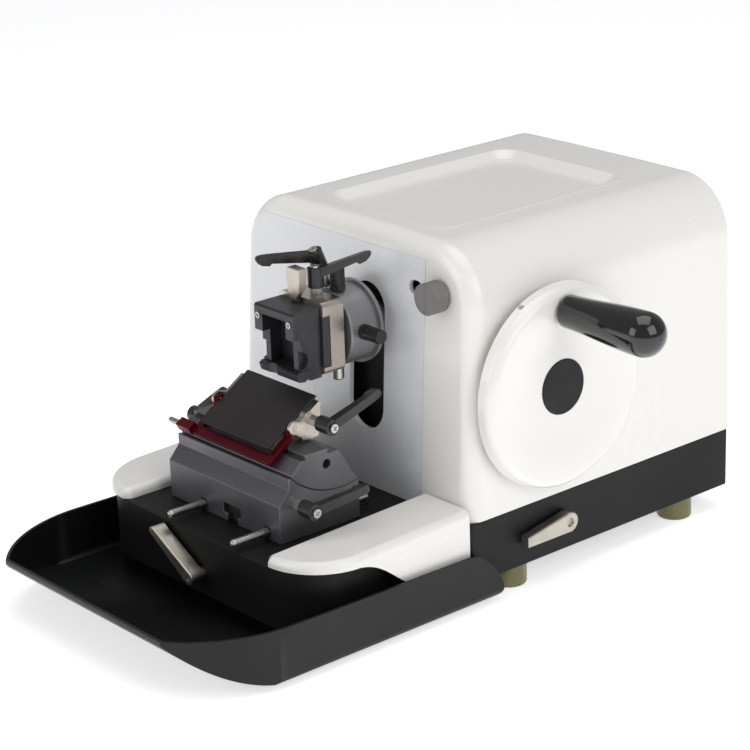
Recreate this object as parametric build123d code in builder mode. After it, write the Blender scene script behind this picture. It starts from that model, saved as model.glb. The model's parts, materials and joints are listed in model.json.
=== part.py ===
from build123d import *
import os
from math import asin, atan2, cos, degrees, radians, sin, sqrt, tan

os.makedirs("parts", exist_ok=True)

# Overall sizes, in millimetres. X runs to the operator's right, Y away from the operator, Z up.
base_width = 286.0
housing_depth = 295.0
deck_depth = 158.0
base_height = 50.0
foot_height = 20.0
housing_height = 213.0
tray_front = 560.2
grip_end = 115.6
coarse_wheel_width = 20.0
coarse_wheel_gap = 2.0
rear_cover_plate = 2.5
screw_head_height = 2.0

# Clearances
running_fit = 0.05
slide_gap = 0.15
seat_gap = 0.3
seam_gap = 0.4

# The origin is the middle of the footprint, on the bench.
left_reach = coarse_wheel_gap + coarse_wheel_width
rear_reach = rear_cover_plate + screw_head_height
side_x = (base_width + left_reach - grip_end) / 2
rear_y = (tray_front - rear_reach) / 2
base_z = foot_height
deck_z = base_z + base_height
centre_x = side_x - base_width / 2
left_x = side_x - base_width
front_y = rear_y - housing_depth
deck_front_y = front_y - deck_depth
top_z = deck_z + housing_height


def facing(y):
    """Plane across the machine at depth y; extrusions grow towards the operator."""
    return Plane.XZ.offset(-y)


def side_plane(x):
    """Plane parallel to the machine's sides at x; extrusions grow to the right."""
    return Plane.YZ.offset(x)


def level(z):
    """Horizontal plane at height z; extrusions grow upwards."""
    return Plane.XY.offset(z)


# Base frame: a cast base under the housing with a flat deck in front of it
base_wall = 8.0
deck_inset = 12.0
deck_corner = 42.0
foot_radius = 14.5
foot_inset_x = 18.0
foot_inset_rear = 46.0
foot_inset_front = 57.0
foot_boss_radius = 13.0
foot_seat_depth = 4.0
foot_span_x = base_width - 2 * foot_inset_x
foot_span_y = housing_depth - foot_inset_rear - foot_inset_front
foot_centre_y = (rear_y - foot_inset_rear + front_y + foot_inset_front) / 2
wheel_lock_y = front_y + 98.0
wheel_lock_z = base_z + 27.0
lock_shaft_radius = 5.0
deck_lever_x = centre_x + 9.0
rods_x = centre_x + 13.0
deck_lever_z = base_z + 18.0
deck_shaft_radius = 5.0
rod_radius = 3.1
rod_offset = 40.0
rod_height = 7.0
rod_rib_width = 6.0
guide_rear_y = front_y - 28.0
rod_rib_front_y = front_y - 125.0

with BuildPart() as base_frame:
    with BuildSketch(level(base_z)):
        with Locations((centre_x, (rear_y + front_y) / 2)):
            RectangleRounded(base_width, housing_depth, 3)
    extrude(amount=base_height)
    with BuildSketch(level(base_z)) as deck_outline:
        with BuildLine():
            half_deck = base_width / 2 - deck_inset
            back = front_y + base_wall
            FilletPolyline(
                (centre_x - half_deck, back),
                (centre_x - half_deck, deck_front_y),
                (centre_x + half_deck, deck_front_y),
                (centre_x + half_deck, back),
                radius=deck_corner,
            )
            Line((centre_x + half_deck, back), (centre_x - half_deck, back))
        make_face()
    extrude(amount=base_height)
    with BuildSketch(level(base_z)):
        with Locations((centre_x, (rear_y + front_y) / 2)):
            Rectangle(base_width - 2 * base_wall, housing_depth - 2 * base_wall)
    extrude(amount=base_height - base_wall, mode=Mode.SUBTRACT)
    with BuildSketch(level(base_z)):
        with Locations((centre_x, (front_y + deck_front_y) / 2)):
            Rectangle(base_width - 2 * deck_inset - 2 * deck_corner, deck_depth - 2 * base_wall)
    extrude(amount=base_height - base_wall, mode=Mode.SUBTRACT)
    with Locations((centre_x, foot_centre_y, base_z)):
        with GridLocations(foot_span_x, foot_span_y, 2, 2):
            Cylinder(
                foot_boss_radius,
                base_height - base_wall / 2,
                align=(Align.CENTER, Align.CENTER, Align.MIN),
            )
            Cylinder(
                foot_radius / 2 + running_fit,
                foot_seat_depth + seat_gap,
                align=(Align.CENTER, Align.CENTER, Align.MIN),
                mode=Mode.SUBTRACT,
            )
    # ribs that carry the two guide rods of the knife holder
    rib_length = guide_rear_y - rod_rib_front_y
    with Locations((rods_x, (guide_rear_y + rod_rib_front_y) / 2, deck_z)):
        with GridLocations(2 * rod_offset, 1, 2, 1):
            Box(
                rod_rib_width,
                rib_length,
                rod_height - rod_radius,
                align=(Align.CENTER, Align.CENTER, Align.MIN),
            )
    # bores for the wheel lock shaft and the deck clamp shaft
    with Locations(Location((side_x - base_wall / 2, wheel_lock_y, wheel_lock_z), (0, 90, 0))):
        Cylinder(lock_shaft_radius + running_fit, 2 * base_wall, mode=Mode.SUBTRACT)
    with Locations(Location((deck_lever_x, deck_front_y + base_wall / 2, deck_lever_z), (90, 0, 0))):
        Cylinder(deck_shaft_radius + running_fit, 2 * base_wall, mode=Mode.SUBTRACT)
base_frame.part.label = "base_frame"
export_step(base_frame.part, "parts/base_frame.step")

# Feet: four cast polyurethane feet pressed into the base
with BuildPart() as feet:
    with Locations((centre_x, foot_centre_y, 0)):
        with GridLocations(foot_span_x, foot_span_y, 2, 2):
            Cylinder(foot_radius, foot_height, align=(Align.CENTER, Align.CENTER, Align.MIN))
            with Locations((0, 0, foot_height)):
                Cylinder(foot_radius / 2, foot_seat_depth, align=(Align.CENTER, Align.CENTER, Align.MIN))
    chamfer(feet.edges().group_by(Axis.Z)[0], 1.2)
feet.part.label = "feet"
export_step(feet.part, "parts/feet.step")

# Housing shell: one form, parted into the hood and the front cover
shell_wall = 4.0
side_draft = 1.3
front_lean = 3.3
shoulder_radius = 48.0
crown_height = 1.6
corner_radius = 14.0
recess_width = 146.0
recess_rear = 48.0
recess_front = 255.0
recess_corner = 20.0
recess_depth = 4.5
recess_draft = 50.0
side_lean = housing_height * tan(radians(side_draft))
front_top_lean = housing_height * tan(radians(front_lean))
half_top = base_width / 2 - side_lean


def housing_solid(inset):
    """The housing's outer form, or the cavity inside it when inset is the wall."""
    with BuildPart() as form:
        with BuildSketch(facing(rear_y - inset)) as section:
            with BuildLine():
                low = deck_z - (1.0 if inset else 0.0)
                Line((centre_x - half_top + inset, top_z - inset), (centre_x - base_width / 2 + inset, low))
                Line((centre_x - base_width / 2 + inset, low), (centre_x + base_width / 2 - inset, low))
                Line((centre_x + base_width / 2 - inset, low), (centre_x + half_top - inset, top_z - inset))
                ThreePointArc(
                    (centre_x + half_top - inset, top_z - inset),
                    (centre_x, top_z + crown_height - inset),
                    (centre_x - half_top + inset, top_z - inset),
                )
            make_face()
            fillet(section.vertices().group_by(Axis.Y)[-1], shoulder_radius - inset)
        extrude(amount=housing_depth - 2 * inset)
        with BuildSketch(side_plane(left_x - 10)):
            with BuildLine():
                foot = (front_y + inset, deck_z)
                head = (front_y + inset + front_top_lean, deck_z + housing_height)
                below = (front_y + inset - front_top_lean, deck_z - housing_height)
                far = (front_y - 60, deck_z + housing_height)
                Polyline(below, head, (head[0] + front_top_lean, head[1] + housing_height), far, below)
            make_face()
        extrude(amount=base_width + 20, mode=Mode.SUBTRACT)
        rounded = form.edges().filter_by(lambda e: abs(e.center().Y - form.part.bounding_box().min.Y) < 30)
        fillet(rounded.filter_by(lambda e: e.bounding_box().min.Z > deck_z - 2 and e.center().Z > deck_z + 5),
               corner_radius - inset)
    return form.part


outer_form = housing_solid(0)
inner_form = housing_solid(shell_wall)

with BuildPart() as recess:
    with BuildSketch(level(top_z + crown_height + 1)):
        with Locations((centre_x, rear_y - (recess_rear + recess_front) / 2)):
            RectangleRounded(recess_width, recess_front - recess_rear, recess_corner)
    extrude(amount=-(recess_depth + crown_height + 1), taper=recess_draft)

# The slot for the specimen neck, the reading window, and the front seam
head_x = centre_x + 19.5
head_z = deck_z + 140.0
neck_radius = 19.5
slot_half_width = 20.5
slot_bottom_z = deck_z + 47.0
slot_top_z = deck_z + 168.0
knob_x = side_x - 39.5
knob_z = deck_z + 175.0
knob_shaft_radius = 4.0
window_x = side_x - 67.5
window_width = 15.0
window_height = 11.5
seam_x = side_x - 57.0
seam_z = top_z - corner_radius
seam_y = front_y + 24.0
wheel_y = front_y + 88.0
wheel_z = deck_z + 94.5
shaft_radius = 10.0
shaft_hole_radius = 14.0
coarse_y = front_y + 165.0
coarse_z = deck_z + 100.0
coarse_shaft_radius = 6.0
rear_opening_width = 150.0
rear_opening_height = 110.0
rear_opening_z = deck_z + 75.0

with BuildPart() as shell:
    add(outer_form)
    add(inner_form, mode=Mode.SUBTRACT)
    with BuildSketch(facing(front_y + 40)):
        with Locations((head_x, (slot_bottom_z + slot_top_z) / 2)):
            SlotOverall(slot_top_z - slot_bottom_z, 2 * slot_half_width, rotation=90)
        with Locations((window_x, knob_z)):
            SlotOverall(window_width, window_height)
        with Locations((knob_x, knob_z)):
            Circle(knob_shaft_radius + running_fit)
    extrude(amount=60, mode=Mode.SUBTRACT)
    with BuildSketch(side_plane(side_x - 20)):
        with Locations((wheel_y, wheel_z)):
            Circle(shaft_hole_radius)
    extrude(amount=40, mode=Mode.SUBTRACT)
    with BuildSketch(side_plane(left_x - 20)):
        with Locations((coarse_y, coarse_z)):
            Circle(coarse_shaft_radius + running_fit)
    extrude(amount=40, mode=Mode.SUBTRACT)
    with BuildSketch(facing(rear_y + 5)):
        with Locations((centre_x, rear_opening_z)):
            RectangleRounded(rear_opening_width, rear_opening_height, 6)
    extrude(amount=20, mode=Mode.SUBTRACT)

# The hood gets its recess with a wall of its own under it.
with BuildPart() as hood:
    add(shell.part)
    with BuildSketch(level(top_z + crown_height)):
        with Locations((centre_x, rear_y - (recess_rear + recess_front) / 2)):
            RectangleRounded(recess_width + 4, recess_front - recess_rear + 4, recess_corner)
    extrude(amount=-(recess_depth + shell_wall), mode=Mode.ADD)
    add(recess.part, mode=Mode.SUBTRACT)
    front_zone = (seam_x + 60 - left_x, seam_y - front_y + 20, seam_z + slide_gap - deck_z + 10)
    with Locations((seam_x + seam_gap, seam_y + seam_gap, seam_z + slide_gap)):
        Box(*front_zone, align=(Align.MAX, Align.MAX, Align.MAX), mode=Mode.SUBTRACT)
hood.part.label = "hood"
export_step(hood.part, "parts/hood.step")

with BuildPart() as front_cover:
    add(shell.part)
    with Locations((seam_x, seam_y, seam_z)):
        Box(*front_zone, align=(Align.MAX, Align.MAX, Align.MAX), mode=Mode.INTERSECT)
front_cover.part.label = "front_cover"
export_step(front_cover.part, "parts/front_cover.step")

# Rear service cover and its screws
rear_overlap = 8.0
rear_screw_radius = 2.0
rear_screw_head = 4.0
rear_screw_span_x = rear_opening_width + rear_overlap
rear_screw_span_z = rear_opening_height + rear_overlap - 16

with BuildPart() as rear_cover:
    with BuildSketch(facing(rear_y + rear_cover_plate)):
        with Locations((centre_x, rear_opening_z)):
            RectangleRounded(rear_opening_width + 2 * rear_overlap, rear_opening_height + 2 * rear_overlap, 8)
            with GridLocations(rear_screw_span_x, rear_screw_span_z, 2, 2):
                Circle(rear_screw_radius + slide_gap, mode=Mode.SUBTRACT)
    extrude(amount=rear_cover_plate)
    with BuildSketch(facing(rear_y + rear_cover_plate)):
        with Locations((centre_x, rear_opening_z)):
            with GridLocations(1, 12, 1, 5):
                SlotOverall(70, 3.5)
    extrude(amount=rear_cover_plate, mode=Mode.SUBTRACT)
rear_cover.part.label = "rear_cover"
export_step(rear_cover.part, "parts/rear_cover.step")

with BuildPart() as cover_screws:
    with BuildSketch(facing(rear_y + rear_reach)):
        with Locations((centre_x, rear_opening_z)):
            with GridLocations(rear_screw_span_x, rear_screw_span_z, 2, 2):
                Circle(rear_screw_head)
    extrude(amount=screw_head_height)
    with BuildSketch(facing(rear_y + rear_cover_plate)):
        with Locations((centre_x, rear_opening_z)):
            with GridLocations(rear_screw_span_x, rear_screw_span_z, 2, 2):
                Circle(rear_screw_radius)
    extrude(amount=rear_cover_plate)
    with BuildSketch(facing(rear_y + rear_reach)):
        with Locations((centre_x, rear_opening_z)):
            with GridLocations(rear_screw_span_x, rear_screw_span_z, 2, 2):
                Rectangle(4.4, 0.9)
                Rectangle(0.9, 4.4)
    extrude(amount=1.2, mode=Mode.SUBTRACT)
cover_screws.part.label = "cover_screws"
export_step(cover_screws.part, "parts/cover_screws.step")

# Arm covers: moulded arm rests left and right of the deck, with a skirt outside
deck_way = 176.0
arm_width = (base_width - deck_way) / 2
arm_length = 158.0
arm_tip_radius = arm_width - 5.0
arm_top = 13.0
arm_tip_drop = 5.0
arm_edge_radius = 6.0
skirt_depth = 31.0
skirt_wall = 4.0
skirt_run = 57.0
skirt_sweep = 52.0


def arm_cover(outer_x, way):
    """An arm cover whose outer side is at outer_x; way is +1 for the right arm, -1 for the left."""
    inner_x = outer_x - way * arm_width
    start_y = front_y - seam_gap
    tip_y = front_y - arm_length
    with BuildPart() as arm:
        with BuildSketch(level(deck_z + seat_gap / 3)):
            with BuildLine():
                Line((inner_x, start_y), (outer_x, start_y))
                Line((outer_x, start_y), (outer_x, tip_y + arm_tip_radius))
                RadiusArc(
                    (outer_x, tip_y + arm_tip_radius),
                    (outer_x - way * arm_tip_radius, tip_y),
                    way * arm_tip_radius,
                )
                Line((outer_x - way * arm_tip_radius, tip_y), (inner_x, tip_y + (arm_width - arm_tip_radius)))
                Line((inner_x, tip_y + (arm_width - arm_tip_radius)), (inner_x, start_y))
            make_face()
        extrude(amount=arm_top)
        # the top falls gently towards the tip
        with BuildSketch(side_plane(min(inner_x, outer_x) - 5)):
            with BuildLine():
                Polyline(
                    (start_y + 1, deck_z + arm_top),
                    (tip_y - 1, deck_z + arm_top - arm_tip_drop),
                    (tip_y - 1, deck_z + arm_top + 20),
                    (start_y + 1, deck_z + arm_top + 20),
                    close=True,
                )
            make_face()
        extrude(amount=arm_width + 10, mode=Mode.SUBTRACT)
        with BuildSketch(side_plane(outer_x - (skirt_wall if way > 0 else 0))):
            with BuildLine():
                low_z = deck_z - skirt_depth
                turn_y = start_y - skirt_run
                end_y = turn_y - skirt_sweep
                Polyline(
                    (turn_y, low_z),
                    (start_y, low_z),
                    (start_y, deck_z + 2),
                    (end_y, deck_z + 2),
                    (end_y, deck_z),
                )
                Bezier((end_y, deck_z), (turn_y - 30, deck_z - 3), (turn_y - 18, low_z + 10), (turn_y, low_z))
            make_face()
        extrude(amount=skirt_wall)
        brim = arm.edges().filter_by(lambda e: e.center().Z > deck_z + arm_top - arm_tip_drop - 1)
        fillet(brim.filter_by(lambda e: e.center().Y < start_y - 1), arm_edge_radius)
    return arm.part


right_arm_cover = arm_cover(side_x, 1)
right_arm_cover.label = "right_arm_cover"
export_step(right_arm_cover, "parts/right_arm_cover.step")
left_arm_cover = arm_cover(left_x, -1)
left_arm_cover.label = "left_arm_cover"
export_step(left_arm_cover, "parts/left_arm_cover.step")

# Waste tray: a scoop that hangs under the deck on magnets and slides off forwards
tray_wall = 2.5
tray_side_gap = 3.3
tray_floor_z = base_z - 16.5
tray_side_z = base_z + 28.3
tray_rim_z = base_z + 27.3
tray_lip = 3.3
tray_edge_radius = 8.0
tray_side_arc = 113.7
tray_arc_run = 92.0
scoop_run = 90.0
scoop_rise = tray_rim_z - tray_lip - tray_floor_z
scoop_radius = (scoop_run**2 + scoop_rise**2) / (2 * scoop_rise)
tray_rear_y = front_y + 30.0
tray_half = base_width / 2 + tray_side_gap + tray_wall
tray_front_y = rear_y - tray_front


def scoop(inset):
    """The tray's outer form, or its hollow when inset is the wall."""
    rim_y = tray_front_y + 1.2 * inset
    floor_z = tray_floor_z + inset
    lift = 30.0 if inset else 0.0
    scoop_y = tray_front_y + scoop_run
    scoop_z = tray_floor_z + scoop_radius
    reach = scoop_radius - inset
    half_way = (asin((scoop_y - rim_y) / reach)) / 2
    lip_z = scoop_z - sqrt(reach**2 - (scoop_y - rim_y) ** 2)
    with BuildPart() as form:
        with BuildSketch(side_plane(centre_x - tray_half + inset)):
            with BuildLine():
                Polyline(
                    (tray_rear_y - 30, tray_side_z - 2 + lift),
                    (tray_front_y + tray_arc_run, tray_side_z + lift),
                    (rim_y, tray_rim_z + lift),
                    (rim_y, lip_z),
                )
                ThreePointArc(
                    (rim_y, lip_z),
                    (scoop_y - reach * sin(half_way), scoop_z - reach * cos(half_way)),
                    (scoop_y, floor_z),
                )
                Line((scoop_y, floor_z), (tray_rear_y - 8, floor_z))
                if inset:
                    Polyline(
                        (tray_rear_y - 8, floor_z),
                        (tray_rear_y + 8, floor_z),
                        (tray_rear_y + 8, tray_side_z - 2 + lift),
                        (tray_rear_y - 30, tray_side_z - 2 + lift),
                    )
                else:
                    RadiusArc((tray_rear_y - 8, floor_z), (tray_rear_y, floor_z + 8), -8)
                    Bezier(
                        (tray_rear_y, floor_z + 8),
                        (tray_rear_y - 1, floor_z + 20),
                        (tray_rear_y - 20, tray_side_z - 4),
                        (tray_rear_y - 30, tray_side_z - 2),
                    )
            make_face()
        extrude(amount=2 * (tray_half - inset))
        # seen from above: straight sides, round corners, and a straight front rim
        with BuildSketch(level(tray_floor_z - 1)):
            with BuildLine():
                arc_y = tray_front_y + tray_arc_run
                arc_radius_in = tray_side_arc - inset
                arc_turn = degrees(asin((arc_y - rim_y) / arc_radius_in))
                straight = tray_half - tray_side_arc
                right = CenterArc((centre_x + straight, arc_y), arc_radius_in, 0, -arc_turn)
                left = CenterArc((centre_x - straight, arc_y), arc_radius_in, 180, arc_turn)
                Line(right @ 1, left @ 1)
                Polyline(
                    left @ 0,
                    (centre_x - tray_half + inset, tray_rear_y + 9),
                    (centre_x + tray_half - inset, tray_rear_y + 9),
                    right @ 0,
                )
            make_face()
        extrude(amount=100, mode=Mode.INTERSECT)
        # seen from the front: rounded lower edges
        with BuildSketch(facing(tray_rear_y + 10)) as cross_section:
            with Locations((centre_x, floor_z)):
                Rectangle(2 * (tray_half - inset), 120, align=(Align.CENTER, Align.MIN))
            fillet(cross_section.vertices().group_by(Axis.Y)[0], tray_edge_radius - inset)
        extrude(amount=tray_front, mode=Mode.INTERSECT)
    return form.part


with BuildPart() as waste_tray:
    add(scoop(0))
    add(scoop(tray_wall), mode=Mode.SUBTRACT)
waste_tray.part.label = "waste_tray"
export_step(waste_tray.part, "parts/waste_tray.step")

magnet_radius = 9.0
magnet_span_y = 110.0
with BuildPart() as tray_magnets:
    with Locations((centre_x, front_y - deck_depth / 2, base_z)):
        with GridLocations(base_width - 2 * deck_inset - base_wall, magnet_span_y - 50, 2, 2):
            Cylinder(
                magnet_radius,
                base_z - tray_floor_z - tray_wall - seat_gap,
                align=(Align.CENTER, Align.CENTER, Align.MAX),
            )
tray_magnets.part.label = "tray_magnets"
export_step(tray_magnets.part, "parts/tray_magnets.step")

# Drive: bearing pedestal, ball bearings, shaft, crank disc and pin
pedestal_half = 30.0
bearing_radius = 19.0
bearing_width = 12.0
crank_width = 8.0
crank_radius = 42.0
crank_throw = 30.0
crank_pin_radius = 6.0
crank_pin_reach = 7.0
carriage_right_x = head_x + 29.5
shaft_inner_x = carriage_right_x + crank_pin_reach + 1.0
pedestal_x = shaft_inner_x + 16.0
pedestal_width = side_x - 20.0 - pedestal_x

with BuildPart() as bearing_pedestal:
    with BuildSketch(side_plane(pedestal_x)) as pedestal_side:
        with BuildLine():
            Polyline(
                (wheel_y - pedestal_half - 12, deck_z),
                (wheel_y + pedestal_half + 12, deck_z),
                (wheel_y + pedestal_half + 12, deck_z + 10),
                (wheel_y + pedestal_half, deck_z + 10),
                (wheel_y + pedestal_half, wheel_z),
            )
            ThreePointArc(
                (wheel_y + pedestal_half, wheel_z),
                (wheel_y, wheel_z + pedestal_half),
                (wheel_y - pedestal_half, wheel_z),
            )
            Polyline(
                (wheel_y - pedestal_half, wheel_z),
                (wheel_y - pedestal_half, deck_z + 10),
                (wheel_y - pedestal_half - 12, deck_z + 10),
                (wheel_y - pedestal_half - 12, deck_z),
            )
        make_face()
    extrude(amount=pedestal_width)
    with BuildSketch(side_plane(pedestal_x)):
        with Locations((wheel_y, wheel_z)):
            Circle(bearing_radius)
    extrude(amount=pedestal_width, mode=Mode.SUBTRACT)
bearing_pedestal.part.label = "bearing_pedestal"
export_step(bearing_pedestal.part, "parts/bearing_pedestal.step")

with BuildPart() as shaft_bearings:
    for start_x in (pedestal_x, pedestal_x + pedestal_width - bearing_width):
        with BuildSketch(side_plane(start_x)):
            with Locations((wheel_y, wheel_z)):
                Circle(bearing_radius)
                Circle(shaft_radius + running_fit, mode=Mode.SUBTRACT)
        extrude(amount=bearing_width)
shaft_bearings.part.label = "shaft_bearings"
export_step(shaft_bearings.part, "parts/shaft_bearings.step")

# Handwheel: a dished disc with a chamfered rim, a hub, and a locking hole in the rim
wheel_radius = 82.5
wheel_face_radius = 77.0
wheel_back_x = side_x + 3.0
wheel_rim_x = side_x + 9.0
wheel_face_x = side_x + 18.0
wheel_hub_x = side_x + 13.0
cap_radius = 22.3
cap_depth = 3.0
grip_radius_offset = 63.0
spindle_radius = 5.0
grip_start_x = side_x + 19.5

with BuildPart() as handwheel:
    with BuildSketch(Plane.XY.offset(wheel_z)):
        with BuildLine():
            Polyline(
                (wheel_back_x, wheel_y + shaft_radius),
                (wheel_back_x, wheel_y + wheel_radius - 2),
                (wheel_back_x + 2, wheel_y + wheel_radius),
                (wheel_rim_x, wheel_y + wheel_radius - 0.5),
            )
            ThreePointArc(
                (wheel_rim_x, wheel_y + wheel_radius - 0.5),
                (wheel_face_x - 1.6, wheel_y + wheel_face_radius + 1.6),
                (wheel_face_x, wheel_y + wheel_face_radius - 2),
            )
            Spline(
                (wheel_face_x, wheel_y + wheel_face_radius - 2),
                (wheel_face_x - 2.2, wheel_y + 55),
                (wheel_hub_x, wheel_y + 30),
                tangents=((-0.02, -1), (0, -1)),
            )
            Polyline(
                (wheel_hub_x, wheel_y + 30),
                (wheel_hub_x, wheel_y + shaft_radius),
                (wheel_back_x, wheel_y + shaft_radius),
            )
        make_face()
    revolve(axis=Axis((0, wheel_y, wheel_z), (1, 0, 0)))
    with BuildSketch(side_plane(wheel_hub_x)):
        with Locations((wheel_y, wheel_z)):
            Circle(cap_radius + slide_gap)
    extrude(amount=-cap_depth, mode=Mode.SUBTRACT)
    with BuildSketch(side_plane(wheel_back_x - 1)):
        with Locations((wheel_y, wheel_z + grip_radius_offset)):
            Circle(spindle_radius)
    extrude(amount=30, mode=Mode.SUBTRACT)
    # a hole in the rim where the wheel is locked at the top of its turn
    notch_angle = 118.0
    notch_reach = wheel_radius - 1.0
    with Locations(
        Location(
            (
                side_x + 7.5,
                wheel_y + notch_reach * cos(radians(notch_angle)),
                wheel_z + notch_reach * sin(radians(notch_angle)),
            ),
            (notch_angle - 90, 0, 0),
        )
    ):
        Cylinder(2.6, 12, mode=Mode.SUBTRACT)
handwheel.part.label = "handwheel"
export_step(handwheel.part, "parts/handwheel.step")

with BuildPart() as handwheel_cap:
    with BuildSketch(side_plane(wheel_hub_x - cap_depth)):
        with Locations((wheel_y, wheel_z)):
            Circle(cap_radius)
    extrude(amount=cap_depth + 0.8)
    fillet(handwheel_cap.edges().sort_by(Axis.X)[-1], 0.6)
handwheel_cap.part.label = "handwheel_cap"
export_step(handwheel_cap.part, "parts/handwheel_cap.step")

with BuildPart() as drive_shaft:
    with BuildSketch(side_plane(shaft_inner_x)):
        with Locations((wheel_y, wheel_z)):
            Circle(shaft_radius)
    extrude(amount=wheel_hub_x - cap_depth - shaft_inner_x)
drive_shaft.part.label = "drive_shaft"
export_step(drive_shaft.part, "parts/drive_shaft.step")

with BuildPart() as crank_disc:
    with BuildSketch(side_plane(shaft_inner_x)):
        with Locations((wheel_y, wheel_z)):
            Circle(crank_radius)
            Circle(shaft_radius, mode=Mode.SUBTRACT)
        with Locations((wheel_y, wheel_z + crank_throw)):
            Circle(crank_pin_radius, mode=Mode.SUBTRACT)
    extrude(amount=crank_width)
    # counterweight on the side away from the crank pin
    with BuildSketch(side_plane(shaft_inner_x + crank_width)) as weight:
        with Locations((wheel_y, wheel_z)):
            Circle(crank_radius)
            Circle(bearing_radius, mode=Mode.SUBTRACT)
        with Locations((wheel_y, wheel_z + crank_radius / 2)):
            Rectangle(2 * crank_radius, crank_radius, mode=Mode.SUBTRACT)
    extrude(amount=7)
crank_disc.part.label = "crank_disc"
export_step(crank_disc.part, "parts/crank_disc.step")

with BuildPart() as crank_pin:
    with BuildSketch(side_plane(shaft_inner_x - crank_pin_reach)):
        with Locations((wheel_y, wheel_z + crank_throw)):
            Circle(crank_pin_radius)
    extrude(amount=crank_pin_reach + crank_width)
crank_pin.part.label = "crank_pin"
export_step(crank_pin.part, "parts/crank_pin.step")

# Crank grip: a revolving handle on a fixed spindle
grip_base_radius = 13.2
grip_top_radius = 17.6
grip_y = wheel_y
grip_z = wheel_z + grip_radius_offset
grip_ball_x = side_x + grip_end - grip_top_radius
spindle_end_x = grip_ball_x - 6

with BuildPart() as grip_spindle:
    with BuildSketch(side_plane(wheel_back_x)):
        with Locations((grip_y, grip_z)):
            Circle(spindle_radius)
    extrude(amount=spindle_end_x - wheel_back_x)
grip_spindle.part.label = "grip_spindle"
export_step(grip_spindle.part, "parts/grip_spindle.step")

with BuildPart() as crank_grip:
    with BuildSketch(Plane.XY.offset(grip_z)):
        with BuildLine():
            bore = spindle_radius + running_fit
            Polyline(
                (spindle_end_x + seat_gap, grip_y),
                (spindle_end_x + seat_gap, grip_y + bore),
                (grip_start_x, grip_y + bore),
                (grip_start_x, grip_y + grip_base_radius - 1.5),
            )
            ThreePointArc(
                (grip_start_x, grip_y + grip_base_radius - 1.5),
                (grip_start_x + 0.44, grip_y + grip_base_radius - 0.44),
                (grip_start_x + 1.5, grip_y + grip_base_radius),
            )
            Spline(
                (grip_start_x + 1.5, grip_y + grip_base_radius),
                (grip_ball_x, grip_y + grip_top_radius),
                tangents=((1, 0.02), (1, 0)),
            )
            RadiusArc((grip_ball_x, grip_y + grip_top_radius), (side_x + grip_end, grip_y), grip_top_radius)
            Line((side_x + grip_end, grip_y), (spindle_end_x + seat_gap, grip_y))
        make_face()
    revolve(axis=Axis((0, grip_y, grip_z), (1, 0, 0)))
crank_grip.part.label = "crank_grip"
export_step(crank_grip.part, "parts/crank_grip.step")

# Wheel lock lever on the right side of the base
lock_length = 46.0
lock_fall = 4.0
lock_lever_x = side_x + 2.0
lock_lever_width = 9.0

with BuildPart() as wheel_lock_lever:
    with BuildSketch(side_plane(lock_lever_x)):
        with Locations((wheel_lock_y, wheel_lock_z)):
            Circle(8.5)
        shell_points = [
            (wheel_lock_y, wheel_lock_z + 8.4),
            (wheel_lock_y - lock_length, wheel_lock_z - lock_fall + 4.2),
            (wheel_lock_y - lock_length, wheel_lock_z - lock_fall - 4.2),
            (wheel_lock_y, wheel_lock_z - 8.4),
        ]
        with BuildLine():
            Polyline(*shell_points, close=True)
        make_face()
    extrude(amount=lock_lever_width)
    fillet(wheel_lock_lever.edges().group_by(Axis.X)[-1], 1.2)
    with BuildSketch(side_plane(lock_lever_x + lock_lever_width)):
        with Locations((wheel_lock_y, wheel_lock_z)):
            Circle(3.4)
    extrude(amount=-2, mode=Mode.SUBTRACT)
    with BuildSketch(side_plane(lock_lever_x)):
        with Locations((wheel_lock_y, wheel_lock_z)):
            Circle(lock_shaft_radius)
    extrude(amount=-(base_wall + 14))
wheel_lock_lever.part.label = "wheel_lock_lever"
export_step(wheel_lock_lever.part, "parts/wheel_lock_lever.step")

# Vertical guide: column, rails, and the carriage that the handwheel lifts
carriage_left_x = head_x - 29.5
carriage_front_y = front_y + 40.0
carriage_rear_y = front_y + 130.0
carriage_half_height = 35.0
column_x = carriage_left_x - 9.0
column_width = 30.0
column_height = 190.0
rail_y = ((carriage_front_y + carriage_rear_y) / 2, 44.0)
rail_width = 10.0
rail_entry = 6.0
yoke_height = 2 * crank_pin_radius + 0.6
flange_y = front_y - 4.0
feed_out = 18.0
screw_radius = 5.0
screw_rear_y = carriage_rear_y + 34.0
screw_front_y = carriage_front_y + 20.0

with BuildPart() as guide_column:
    with BuildSketch(level(deck_z)):
        with Locations((column_x - column_width / 2, rail_y[0])):
            Rectangle(column_width, 80)
        with Locations((column_x - column_width / 2 - 10, rail_y[0])):
            Rectangle(column_width + 20, 80)
    extrude(amount=10)
    with BuildSketch(level(deck_z + 10)):
        with Locations((column_x - column_width / 2, rail_y[0])):
            Rectangle(column_width, 80)
    extrude(amount=column_height - 10)
guide_column.part.label = "guide_column"
export_step(guide_column.part, "parts/guide_column.step")

with BuildPart() as guide_rails:
    with Locations((column_x, rail_y[0], deck_z + 20)):
        with GridLocations(1, rail_y[1], 1, 2):
            Box(
                carriage_left_x + rail_entry - column_x,
                rail_width,
                column_height - 20,
                align=(Align.MIN, Align.CENTER, Align.MIN),
            )
guide_rails.part.label = "guide_rails"
export_step(guide_rails.part, "parts/guide_rails.step")

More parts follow.
